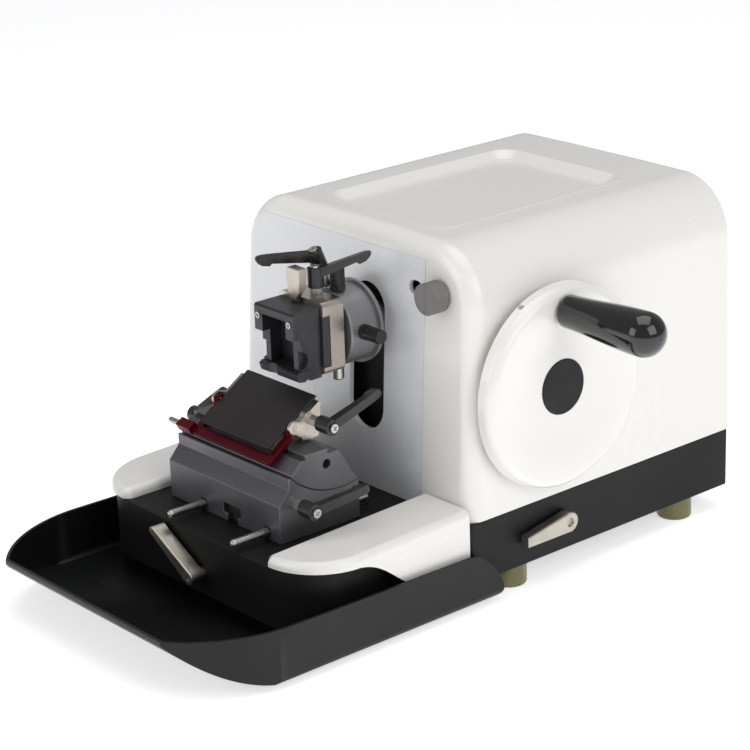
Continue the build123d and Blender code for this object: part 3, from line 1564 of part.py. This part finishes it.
with BuildPart() as finger_guard:
    with BuildSketch(side_plane(holder_x - guard_inner - guard_arm_width)):
        with BuildLine():
            Polyline(*guard_bar, close=True)
        make_face()
    extrude(amount=2 * (guard_inner + guard_arm_width))
    for start in (holder_x - guard_inner - guard_arm_width, holder_x + guard_inner):
        with BuildSketch(side_plane(start)):
            with BuildLine():
                Polyline(*guard_arm, close=True)
            make_face()
        extrude(amount=guard_arm_width)
    for start in (holder_x - guard_inner - guard_tab_width, holder_x + guard_inner):
        with BuildSketch(side_plane(start)):
            with BuildLine():
                Polyline(*guard_tab, close=True)
            make_face()
            with Locations(guard_pivot):
                Circle(guard_tab_radius)
                Circle(guard_pin_radius + running_fit, mode=Mode.SUBTRACT)
        extrude(amount=guard_tab_width)
    # the finger block on the left end of the bar
    with BuildSketch(side_plane(holder_x - guard_inner - guard_arm_width)):
        with BuildLine():
            Polyline(
                on_plate(-9.8, -9),
                on_plate(-9.8, -2),
                on_plate(-1.7, -2),
                on_plate(-1.7, -9),
                close=True,
            )
        make_face()
    extrude(amount=-17)
finger_guard.part.label = "finger_guard"
export_step(finger_guard.part, "parts/finger_guard.step")

# Steel pins of the guard: one at each pivot, and a finger pin in the block
with BuildPart() as guard_pins:
    for start in (holder_x - wedge_half - cheek_width - 0.4, holder_x + guard_inner):
        with BuildSketch(side_plane(start)):
            with Locations(guard_pivot):
                Circle(guard_pin_radius)
        extrude(amount=wedge_half + cheek_width + 0.4 - guard_inner)
    with BuildSketch(side_plane(holder_x - guard_inner - guard_arm_width - 17)):
        with Locations(on_plate(-6.5, -4.6)):
            Circle(2.4)
    extrude(amount=-12)
guard_pins.part.label = "guard_pins"
export_step(guard_pins.part, "parts/guard_pins.step")

# The three clamp levers of the knife holder
segment_plane = arm_plane(
    (holder_x + holder_half, front_y - 111.6, deck_z + 30.0), (1, 0, 0), (0, 42.1, 12.8)
)
blade_plane = arm_plane(
    (holder_x + wedge_half + cheek_width, blade_stud_seat[0], blade_stud_seat[1]), (1, 0, 0), (0, 36.7, 24.2)
)
lateral_plane = arm_plane((holder_x - holder_half, front_y - 86.4, deck_z + 54.5), (-1, 0, 0), (0, 46, 5.8))

segment_lever = clamp_lever(segment_plane, segment_collar)
segment_lever.label = "segment_lever"
export_step(segment_lever, "parts/segment_lever.step")
segment_stud = lever_stud(segment_plane, segment_collar)
segment_stud.label = "segment_stud"
export_step(segment_stud, "parts/segment_stud.step")
blade_lever = clamp_lever(blade_plane, blade_collar)
blade_lever.label = "blade_lever"
export_step(blade_lever, "parts/blade_lever.step")
blade_stud = lever_stud(blade_plane, blade_collar)
blade_stud.label = "blade_stud"
export_step(blade_stud, "parts/blade_stud.step")
lateral_lever = clamp_lever(lateral_plane, lateral_collar)
lateral_lever.label = "lateral_lever"
export_step(lateral_lever, "parts/lateral_lever.step")
lateral_stud = lever_stud(lateral_plane, lateral_collar)
lateral_stud.label = "lateral_stud"
export_step(lateral_stud, "parts/lateral_stud.step")

# Deck clamp lever on the front wall of the base
deck_lever_depth = 12.0
deck_lever_gap = 2.5
deck_lever_end = (deck_lever_x - 44.5, deck_lever_z + 26.3)
deck_lever_angle = degrees(atan2(26.3, -44.5))
with BuildPart() as deck_lever:
    with BuildSketch(facing(deck_front_y - deck_lever_gap)):
        with Locations((deck_lever_x, deck_lever_z)):
            Circle(5.5)
        with Locations(deck_lever_end):
            Circle(3.2)
        with BuildLine():
            across = radians(deck_lever_angle - 90)
            Polyline(
                (deck_lever_x + 5.5 * cos(across), deck_lever_z + 5.5 * sin(across)),
                (deck_lever_end[0] + 3.2 * cos(across), deck_lever_end[1] + 3.2 * sin(across)),
                (deck_lever_end[0] - 3.2 * cos(across), deck_lever_end[1] - 3.2 * sin(across)),
                (deck_lever_x - 5.5 * cos(across), deck_lever_z - 5.5 * sin(across)),
                close=True,
            )
        make_face()
    extrude(amount=deck_lever_depth)
    fillet(deck_lever.edges().group_by(Axis.Y)[0], 0.8)
    with BuildSketch(facing(deck_front_y - deck_lever_gap - deck_lever_depth + 2)):
        with Locations((deck_lever_x, deck_lever_z)):
            Circle(2.6)
    extrude(amount=3, mode=Mode.SUBTRACT)
    with BuildSketch(facing(deck_front_y + base_wall + 8)):
        with Locations((deck_lever_x, deck_lever_z)):
            Circle(deck_shaft_radius)
    extrude(amount=base_wall + 8 + deck_lever_gap)
deck_lever.part.label = "deck_lever"
export_step(deck_lever.part, "parts/deck_lever.step")
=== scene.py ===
import json
import math

import bmesh
import bpy
from mathutils import Matrix, Vector


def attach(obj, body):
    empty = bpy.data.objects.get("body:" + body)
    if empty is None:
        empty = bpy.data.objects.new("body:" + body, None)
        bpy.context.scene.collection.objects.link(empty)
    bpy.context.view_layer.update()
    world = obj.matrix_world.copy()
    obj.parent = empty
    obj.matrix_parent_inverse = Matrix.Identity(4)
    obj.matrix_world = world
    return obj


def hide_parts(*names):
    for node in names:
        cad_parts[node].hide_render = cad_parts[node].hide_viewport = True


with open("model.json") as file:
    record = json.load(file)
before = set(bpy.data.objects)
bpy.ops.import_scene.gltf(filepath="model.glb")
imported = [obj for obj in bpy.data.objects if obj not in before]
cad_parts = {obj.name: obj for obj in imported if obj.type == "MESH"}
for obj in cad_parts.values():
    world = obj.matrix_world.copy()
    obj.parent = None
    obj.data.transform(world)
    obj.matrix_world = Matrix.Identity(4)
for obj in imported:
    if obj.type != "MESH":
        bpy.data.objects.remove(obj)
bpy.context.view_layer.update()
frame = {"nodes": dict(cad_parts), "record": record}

# Camera: the photograph's viewpoint, high and to the right of the operator.
azimuth = math.radians(49.93)
elevation = math.radians(19.71)
roll = 0.0333
focal_pixels = 2458.392
photo_pixels = 750
sensor_mm = 36.0

level = math.cos(elevation)
forward = Vector((-math.sin(azimuth) * level, math.cos(azimuth) * level, -math.sin(elevation)))
across = Vector((math.cos(azimuth), math.sin(azimuth), 0))
down = forward.cross(across)
right = math.cos(roll) * across + math.sin(roll) * down
under = -math.sin(roll) * across + math.cos(roll) * down
camera_data = bpy.data.cameras.new("camera")
camera_data.sensor_width = sensor_mm
camera_data.lens = sensor_mm * focal_pixels / photo_pixels
camera_data.clip_start = 0.05
camera_data.clip_end = 20
camera = bpy.data.objects.new("camera", camera_data)
bpy.context.scene.collection.objects.link(camera)
turn = Matrix((right, -under, -forward)).transposed().to_4x4()
camera.matrix_world = Matrix.Translation((1.37976, -1.187015, 0.817567)) @ turn
bpy.context.scene.camera = camera


# Studio: a pale seamless floor, an even pale surround, and three soft boxes.
def linear(code):
    """Turns an sRGB hex code into the linear colour that shaders take."""
    parts = [int(code[i : i + 2], 16) / 255 for i in (0, 2, 4)]
    return [c / 12.92 if c <= 0.04045 else ((c + 0.055) / 1.055) ** 2.4 for c in parts] + [1.0]


def node(tree, kind, settings=None, **links):
    """Adds one node: settings are its properties and sockets, links its inputs from other nodes."""
    made = tree.nodes.new(kind)
    for name, value in (settings or {}).items():
        if isinstance(name, int) or name in made.inputs:
            made.inputs[name].default_value = value
        else:
            setattr(made, name, value)
    for name, source in links.items():
        target = made.inputs[int(name[1:])] if name[1:].isdigit() else made.inputs[name.replace("_", " ")]
        tree.links.new(source, target)
    return made


bpy.context.scene.view_settings.view_transform = "Standard"
world = bpy.data.worlds.new("surround")
world.use_nodes = True
world.node_tree.nodes["Background"].inputs["Color"].default_value = linear("F4F5F7")
world.node_tree.nodes["Background"].inputs["Strength"].default_value = 0.35
bpy.context.scene.world = world


def soft_box(name, place, aim, size, power):
    """One square area light at place, pointing at aim."""
    lamp = bpy.data.lights.new(name, "AREA")
    lamp.size = size
    lamp.energy = power
    holder = bpy.data.objects.new(name, lamp)
    holder.location = place
    holder.rotation_mode = "QUATERNION"
    holder.rotation_quaternion = (Vector(aim) - Vector(place)).to_track_quat("-Z", "Y")
    bpy.context.scene.collection.objects.link(holder)
    return holder


soft_box("overhead", (0.1, 0.1, 1.9), (0, 0, 0.1), 1.6, 13)
soft_box("key_right", (1.8, 0.1, 1.2), (0, 0, 0.15), 1.3, 11)
soft_box("fill_front", (-0.5, -1.9, 0.9), (0, 0, 0.15), 1.2, 8.5)

floor_mesh = bpy.data.meshes.new("floor")
floor_mesh.from_pydata([(-8, -8, 0), (8, -8, 0), (8, 8, 0), (-8, 8, 0)], [], [(0, 1, 2, 3)])
floor = bpy.data.objects.new("floor", floor_mesh)
bpy.context.scene.collection.objects.link(floor)
floor_material = bpy.data.materials.new("seamless_paper")
floor_material.use_nodes = True
floor_shader = floor_material.node_tree.nodes["Principled BSDF"]
floor_shader.inputs["Base Color"].default_value = linear("F7F7F8")
floor_shader.inputs["Roughness"].default_value = 0.9
floor_shader.inputs["Emission Color"].default_value = linear("FFFFFF")
floor_shader.inputs["Emission Strength"].default_value = 0.6
floor_mesh.materials.append(floor_material)


# How a piece is made from its solid: the mesh is copied, its doubles merged, its flat faces
# joined, and its edges broken with a small round, as a deburred or moulded edge has.
mm = 0.001
bodies = frame["record"]["behaviour"]["bodies"]
body_of = {name: body for body, names in bodies.items() for name in names}


def solid(name):
    """A bmesh of a CAD node, merged and cleaned."""
    source = frame["nodes"][name]
    made = bmesh.new()
    made.from_mesh(source.data)
    made.transform(source.matrix_world)
    bmesh.ops.remove_doubles(made, verts=made.verts, dist=0.002 * mm)
    bmesh.ops.dissolve_limit(made, angle_limit=math.radians(0.5), verts=made.verts, edges=made.edges)
    return made


def extent(made):
    """Lowest and highest corner of a bmesh."""
    spans = [[corner.co[i] for corner in made.verts] for i in range(3)]
    return Vector([min(span) for span in spans]), Vector([max(span) for span in spans])


def piece(name, made, nodes, material, edge=0.0, sharp=35, second=None):
    """Links a bmesh as a piece that stands for some CAD nodes; edge is the round on its edges in mm."""
    mesh = bpy.data.meshes.new(name)
    made.to_mesh(mesh)
    made.free()
    for face in mesh.polygons:
        face.use_smooth = True
    mesh.set_sharp_from_angle(angle=math.radians(sharp))
    mesh.materials.append(material)
    if second:
        mesh.materials.append(second)
    shown = bpy.data.objects.new(name, mesh)
    bpy.context.scene.collection.objects.link(shown)
    if edge:
        rounding = shown.modifiers.new("broken_edges", "BEVEL")
        rounding.width = edge * mm
        rounding.segments = 2
        rounding.limit_method = "ANGLE"
        rounding.angle_limit = math.radians(sharp)
        rounding.miter_outer = "MITER_ARC"
        levelling = shown.modifiers.new("flat_faces_stay_flat", "WEIGHTED_NORMAL")
        levelling.keep_sharp = True
    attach(shown, body_of[nodes[0]])
    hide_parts(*nodes)
    return shown


def ring(name, count, radius, bar, material):
    """Geometry Nodes: equal bars round the Z axis, as one plain mesh. Bar is its radial, cross and
    axial size in mm; a bar with no radial size of its own is a round rib."""
    tree = bpy.data.node_groups.new(name, "GeometryNodeTree")
    sockets = tree.interface
    sockets.new_socket("Geometry", in_out="INPUT", socket_type="NodeSocketGeometry")
    values = {
        "Count": ("NodeSocketInt", count),
        "Ring Radius": ("NodeSocketFloat", radius * mm),
        "Bar Length": ("NodeSocketFloat", bar[2] * mm),
        "Bar Width": ("NodeSocketFloat", bar[1] * mm),
        "Bar Reach": ("NodeSocketFloat", bar[0] * mm),
        "Material": ("NodeSocketMaterial", material),
    }
    keys = {}
    for label, (kind, _) in values.items():
        keys[label] = sockets.new_socket(label, in_out="INPUT", socket_type=kind).identifier
    sockets.new_socket("Geometry", in_out="OUTPUT", socket_type="NodeSocketGeometry")
    given = node(tree, "NodeGroupInput").outputs
    circle = node(tree, "GeometryNodeMeshCircle", Vertices=given["Count"], Radius=given["Ring Radius"])
    if bar[0]:
        size = node(
            tree,
            "ShaderNodeCombineXYZ",
            X=given["Bar Reach"],
            Y=given["Bar Width"],
            Z=given["Bar Length"],
        )
        shape = node(tree, "GeometryNodeMeshCube", Size=size.outputs[0]).outputs["Mesh"]
    else:
        half = node(tree, "ShaderNodeMath", {"operation": "MULTIPLY", 1: 0.5}, _0=given["Bar Width"])
        rod = {"Vertices": 10}
        shape = node(tree, "GeometryNodeMeshCylinder", rod, Radius=half.outputs[0], Depth=given["Bar Length"])
        shape = shape.outputs["Mesh"]
    outward = node(tree, "GeometryNodeInputPosition")
    about = {"axis": "X", "pivot_axis": "Z"}
    facing = node(tree, "FunctionNodeAlignRotationToVector", about, Vector=outward.outputs[0])
    placed = node(
        tree,
        "GeometryNodeInstanceOnPoints",
        Points=circle.outputs["Mesh"],
        Instance=shape,
        Rotation=facing.outputs["Rotation"],
    )
    plain = node(tree, "GeometryNodeRealizeInstances", Geometry=placed.outputs["Instances"])
    dressed = node(tree, "GeometryNodeSetMaterial", Geometry=plain.outputs[0], Material=given["Material"])
    node(tree, "NodeGroupOutput", _0=dressed.outputs[0])
    host = bpy.data.objects.new(name, bpy.data.meshes.new(name))
    bpy.context.scene.collection.objects.link(host)
    maker = host.modifiers.new(name, "NODES")
    maker.node_group = tree
    for label, (_, value) in values.items():
        maker[keys[label]] = value
    made = bpy.data.meshes.new_from_object(host.evaluated_get(bpy.context.evaluated_depsgraph_get()))
    host.modifiers.remove(maker)
    bpy.data.objects.remove(host)
    return made


def add_ring(made, mesh, turn, place, index=0):
    """Joins a ring to a piece's bmesh: turned, then set at place, with one of its materials."""
    mesh.transform(Matrix.Translation(place) @ turn)
    before = len(made.faces)
    made.from_mesh(mesh)
    made.faces.ensure_lookup_table()
    for face in made.faces[before:]:
        face.material_index = index


def finish(name, colour, shade, rough, spread=0.08, grain=0.5, depth=0.02, metallic=0.0, coat=0.0,
           worn=None, stretch=(1, 1, 1), patch=70.0, shine=0.5):
    """One material: two close tones in broad patches, a fine grain in roughness and height, worn edges."""
    material = bpy.data.materials.new(name)
    material.use_nodes = True
    tree = material.node_tree
    shader = tree.nodes["Principled BSDF"]
    shader.inputs["Metallic"].default_value = metallic
    shader.inputs["Coat Weight"].default_value = coat
    shader.inputs["Coat Roughness"].default_value = 0.12
    shader.inputs["Specular IOR Level"].default_value = shine
    place = node(tree, "ShaderNodeTexCoord").outputs["Object"]
    drawn = node(tree, "ShaderNodeMapping", {"Scale": stretch}, Vector=place).outputs["Vector"]
    broad = {"Scale": 1000 / patch, "Detail": 5.0, "Roughness": 0.6}
    cloud = node(tree, "ShaderNodeTexNoise", broad, Vector=place)
    fine = node(tree, "ShaderNodeTexNoise", {"Scale": 1000 / grain, "Detail": 3.0}, Vector=drawn)
    tones = {"data_type": "RGBA", 6: linear(colour), 7: linear(shade)}
    tone = node(tree, "ShaderNodeMix", tones, _0=cloud.outputs["Fac"]).outputs[2]
    spans = {"From Min": 0.3, "From Max": 0.7, "To Min": rough - spread, "To Max": rough + spread}
    smudge = node(tree, "ShaderNodeMapRange", spans, Value=cloud.outputs["Fac"]).outputs["Result"]
    centred = {"operation": "MULTIPLY_ADD", 1: spread, 2: -spread / 2}
    speck = node(tree, "ShaderNodeMath", centred, _0=fine.outputs["Fac"]).outputs[0]
    mixed = node(tree, "ShaderNodeMath", {"operation": "ADD", "use_clamp": True}, _0=smudge, _1=speck)
    tree.links.new(mixed.outputs[0], shader.inputs["Roughness"])
    relief = {"Strength": 0.35, "Distance": depth * mm}
    bump = node(tree, "ShaderNodeBump", relief, Height=fine.outputs["Fac"])
    tree.links.new(bump.outputs["Normal"], shader.inputs["Normal"])
    if worn:
        edge = node(tree, "ShaderNodeNewGeometry").outputs["Pointiness"]
        convex = {"From Min": 0.52, "From Max": 0.6, "To Min": 0.0, "To Max": 0.5}
        high = node(tree, "ShaderNodeMapRange", convex, Value=edge).outputs["Result"]
        broken = node(tree, "ShaderNodeMath", {"operation": "MULTIPLY"}, _0=high, _1=cloud.outputs["Fac"])
        rubbed = {"data_type": "RGBA", 7: linear(worn)}
        tone = node(tree, "ShaderNodeMix", rubbed, _0=broken.outputs[0], _6=tone).outputs[2]
    tree.links.new(tone, shader.inputs["Base Color"])
    return material


# Base frame: a sand-cast aluminium tray with the deck in front, painted in a satin dark structure
# paint. The paint's fine orange peel shows as a soft sparkle, and edges rub to a paler grey.
structure_paint = finish(
    "black_structure_paint", "121111", "0E0D0D",
    0.5, 0.08, 0.7, 0.05, worn="2C2A2A", shine=0.25,
)
piece("base", solid("base_frame"), ["base_frame"], structure_paint, edge=0.8)

# Feet: cast polyurethane, olive and slightly see-through, soft enough to damp the cutting stroke.
polyurethane = finish(
    "cast_polyurethane", "7C7848", "5F5B30",
    0.3, 0.06, 2.0, 0.03, coat=0.2, patch=12.0,
)
see_through = polyurethane.node_tree.nodes["Principled BSDF"]
see_through.inputs["Subsurface Weight"].default_value = 0.35
see_through.inputs["Subsurface Radius"].default_value = (0.006, 0.005, 0.002)
piece("foot_pads", solid("feet"), ["feet"], polyurethane, edge=0.8)

# Hood: a structural foam moulding in gloss two-pack white, with a tool recess in its top.
# The paint flows out smooth, so only a very slight orange peel and dulled handling marks show.
gloss_white = finish(
    "gloss_two_pack_white", "F3F1ED", "EEECE7",
    0.24, 0.05, 1.6, 0.012, coat=0.35, patch=120.0,
)
piece("housing_hood", solid("hood"), ["hood"], gloss_white, edge=0.5)

# Front cover: the same shell parted off, in a cooler white made a little greyer as painted shade on its front
# faces, with the neck slot and window.
# The grey in this white is painted shade: the front faces turn away from the key light.
cool_white_painted_shade = finish(
    "gloss_cool_white", "ECEDEF", "E6E8EB",
    0.27, 0.05, 1.6, 0.012, coat=0.3, patch=120.0,
)
piece("cover_front", solid("front_cover"), ["front_cover"], cool_white_painted_shade, edge=0.5)

# Rear cover: a punched and powder-coated steel plate held by four plated cross-head screws.
# It takes the front cover's white, with the same painted shade.
piece("cover_rear", solid("rear_cover"), ["rear_cover"], cool_white_painted_shade, edge=0.4)
zinc_plate = finish(
    "bright_zinc_plate", "C2BFB8", "A9A59C",
    0.26, 0.08, 0.2, 0.01, metallic=1.0, patch=4.0,
)
piece("rear_screws", solid("cover_screws"), ["cover_screws"], zinc_plate, edge=0.25)

# Arm rests: two gloss mouldings that cap the deck's sides and reach down over the base.
for side in ("right_arm_cover", "left_arm_cover"):
    piece("rest_" + side.split("_")[0], solid(side), [side], gloss_white, edge=0.6)

# Waste tray: injection-moulded antistatic ABS with a fine spark-eroded texture, near black,
# hung under the deck on rubber-coated magnets.
moulded_abs = finish(
    "textured_black_abs", "141515", "101111",
    0.42, 0.08, 0.5, 0.03, worn="383939", patch=90.0, shine=0.32,
)
piece("tray", solid("waste_tray"), ["waste_tray"], moulded_abs, edge=1.0)
rubber = finish("rubber_coating", "1C1B1B", "242322", 0.7, 0.1, 0.8, 0.05, patch=20.0)
piece("magnets", solid("tray_magnets"), ["tray_magnets"], rubber, edge=0.6)

# Handwheel: a turned and balanced cast wheel in gloss white, with a moulded cap over its hub.
wheel_white = finish(
    "gloss_wheel_white", "F6F4F1", "F0EEEA",
    0.22, 0.05, 1.6, 0.01, coat=0.4, patch=100.0,
)
piece("wheel", solid("handwheel"), ["handwheel"], wheel_white, edge=0.5, sharp=28)
soft_cap = finish(
    "matt_moulded_cap", "1E1C1D", "242223",
    0.6, 0.08, 0.4, 0.03, patch=15.0, shine=0.3,
)
piece("wheel_cap", solid("handwheel_cap"), ["handwheel_cap"], soft_cap, edge=0.3)

# Crank grip: a phenolic handle turned, polished to a black mirror, running on a ground spindle.
phenolic = finish(
    "polished_phenolic", "0B0B0B", "101010",
    0.1, 0.04, 3.0, 0.004, coat=0.6, patch=40.0,
)
piece("grip", solid("crank_grip"), ["crank_grip"], phenolic, sharp=50)
ground_steel = finish(
    "ground_steel", "CFCDC8", "B6B3AD",
    0.3, 0.08, 0.25, 0.01, metallic=1.0, stretch=(1, 1, 12), patch=10.0,
)
piece("grip_axle", solid("grip_spindle"), ["grip_spindle"], ground_steel)
for name in ("drive_shaft", "crank_pin", "feed_cylinder", "feed_screw", "ratchet_wheel", "coarse_feed_shaft",
             "guide_rods", "return_plunger", "shaft_bearings", "guide_rails"):
    piece("steel_" + name, solid(name), [name], ground_steel, edge=0.3)

# Lock lever of the wheel and clamp lever of the deck: satin-blasted zinc castings on steel shafts.
cast_zinc = finish(
    "satin_zinc_casting", "C4BFB4", "AEA99E",
    0.36, 0.08, 0.35, 0.03, metallic=1.0, worn="E2DED6", patch=14.0,
)
piece("wheel_lock", solid("wheel_lock_lever"), ["wheel_lock_lever"], cast_zinc, edge=0.5)
piece("deck_clamp", solid("deck_lever"), ["deck_lever"], cast_zinc, edge=0.5)

# Inside: cast parts of the drive, and the machined carriage.
grey_casting = finish("primed_casting", "4A4A4A", "3C3C3C", 0.6, 0.1, 0.9, 0.08, patch=30.0)
for name in ("bearing_pedestal", "guide_column", "crank_disc"):
    piece("cast_" + name, solid(name), [name], grey_casting, edge=0.5)
machined_aluminium = finish(
    "machined_aluminium", "B6B6B4", "A2A2A0",
    0.32, 0.08, 0.3, 0.02, metallic=1.0, stretch=(1, 14, 1),
)
piece("slide_carriage", solid("carriage"), ["carriage"], machined_aluminium, edge=0.4)
shield_sheet = finish("shield_sheet", "171717", "1D1D1D", 0.6, 0.08, 0.6, 0.03)
piece("shield", solid("slot_shield"), ["slot_shield"], shield_sheet, edge=0.3)

# Thickness knob: ribbed grey plastic moulding on a dial with printed figures.
grey_knob = finish(
    "grey_moulded_knob", "7A7775", "6F6C6A",
    0.5, 0.08, 0.4, 0.04, worn="9A9795", patch=10.0,
)
piece("section_knob", solid("thickness_knob"), ["thickness_knob"], grey_knob, edge=0.15)
dial_plastic = finish("printed_dial_plastic", "101010", "151515", 0.4, 0.06, 0.5, 0.01, patch=10.0)
tick_paint = finish("tampo_printed_white", "E8E8E4", "DADAD5", 0.55, 0.06, 0.3, 0.004, patch=4.0)
dial = solid("thickness_dial")
dial_low, dial_high = extent(dial)
dial_centre = (dial_low + dial_high) / 2
add_ring(
    dial,
    ring("dial_ticks", 60, 21.3, (2.4, 0.4, 0.05), tick_paint),
    Matrix.Rotation(math.radians(90), 4, "X"),
    (dial_centre.x, dial_low.y, dial_centre.z),
    index=1,
)
piece("dial_plate", dial, ["thickness_dial"], dial_plastic, second=tick_paint)

# Orientation head: a turned aluminium housing, slate anodised, with black knurled knobs.
slate_anodised = finish(
    "slate_anodised_aluminium", "929295", "848487",
    0.36, 0.07, 0.25, 0.01, metallic=0.6, worn="ABABB0", patch=25.0,
)
piece("head_housing", solid("orientation_housing"), ["orientation_housing"], slate_anodised, edge=0.5)
black_plastic = finish(
    "moulded_black_plastic", "161616", "1D1C1C",
    0.36, 0.07, 0.4, 0.02, coat=0.1, patch=10.0,
)
rib_count, rib_start, rib_length, rib_width, ribbed_radius = 22, 5.0, 14.5, 0.8, 5.35
for name, axis in (("side_adjusting_knob", "X"), ("top_adjusting_knob", "Z")):
    knob = solid(name)
    low, high = extent(knob)
    middle = (low + high) / 2
    reach = (rib_start + rib_length / 2) * mm
    turned = Matrix.Rotation(math.radians(90), 4, "Y") if axis == "X" else Matrix.Identity(4)
    centre = (low.x + reach, middle.y, middle.z) if axis == "X" else (middle.x, middle.y, low.z + reach)
    ribs = ring(name + "_ribs", rib_count, ribbed_radius, (0, rib_width, rib_length), black_plastic)
    add_ring(knob, ribs, turned, centre)
    piece("knob_" + name.split("_")[0], knob, [name], black_plastic, sharp=50)
piece("knob_coarse", solid("coarse_feed_wheel"), ["coarse_feed_wheel"], black_plastic, edge=0.25)

# Swivel block and blade clamp: milled steel with a satin nickel plate, warm and bright.
nickel = finish(
    "satin_nickel_plate", "C8C0B6", "B2AAA0", 0.3, 0.07, 0.25, 0.012, metallic=1.0,
    stretch=(8, 1, 1), worn="E4DCD2", patch=18.0,
)
piece("swivel", solid("swivel_block"), ["swivel_block"], nickel, edge=1.0)
piece("wedge", solid("blade_clamp"), ["blade_clamp"], nickel, edge=0.5)

# Cassette clamp: milled aluminium, black anodised, with a moving lower jaw and a thumb plate.
black_anodised = finish(
    "black_anodised_aluminium", "3A393D", "2F2E32",
    0.34, 0.07, 0.22, 0.012, metallic=0.5, worn="65656C", patch=16.0,
)
for name in ("cassette_clamp", "clamp_jaw"):
    piece("clamp_" + name, solid(name), [name], black_anodised, edge=0.5)
piece("clamp_thumb", solid("jaw_lever"), ["jaw_lever"], nickel, edge=0.5)
piece("clamp_fixings", solid("clamp_screws"), ["clamp_screws"], zinc_plate, edge=0.12)

# Knife holder: machined base and segment, dark blue-grey hard anodised.
hard_anodised = finish(
    "hard_anodised_aluminium", "6E6D71", "605F63",
    0.4, 0.07, 0.25, 0.012, metallic=0.8, worn="96969C", patch=30.0,
)
piece("knife_base", solid("holder_base"), ["holder_base"], hard_anodised, edge=0.6)
piece("knife_segment", solid("segment"), ["segment"], hard_anodised, edge=0.6)
black_oxide = finish(
    "black_oxide_steel", "33302F", "2A2827",
    0.42, 0.07, 0.25, 0.012, metallic=0.5, worn="66615E", patch=25.0,
)
piece("rail", solid("clamp_rail"), ["clamp_rail"], black_oxide, edge=0.3)
piece("plate", solid("pressure_plate"), ["pressure_plate"], black_oxide, edge=0.25)
razor_steel = finish(
    "honed_razor_steel", "D8D8D8", "C8C8C8",
    0.16, 0.05, 0.2, 0.004, metallic=1.0, stretch=(1, 20, 20), patch=10.0,
)
piece("knife", solid("blade"), ["blade"], razor_steel)
red_anodised = finish(
    "red_anodised_aluminium", "6A0218", "4E0110",
    0.3, 0.07, 0.3, 0.01, metallic=0.75, worn="9C2036", patch=20.0,
)
piece("guard", solid("finger_guard"), ["finger_guard"], red_anodised, edge=0.6)
piece("guard_fixings", solid("guard_pins"), ["guard_pins"], zinc_plate, edge=0.25)

# Clamp levers: glass-filled nylon arms on turned steel studs, one for each clamped slide.
nylon = finish(
    "glass_filled_nylon", "1B1A1A", "232221",
    0.34, 0.08, 0.35, 0.03, coat=0.1, worn="3C3A39", patch=12.0,
)
for kind in ("orientation", "carrier", "segment", "blade", "lateral"):
    piece("lever_" + kind, solid(kind + "_lever"), [kind + "_lever"], nylon, edge=0.9)
    piece("stud_" + kind, solid(kind + "_stud"), [kind + "_stud"], ground_steel, edge=0.2)
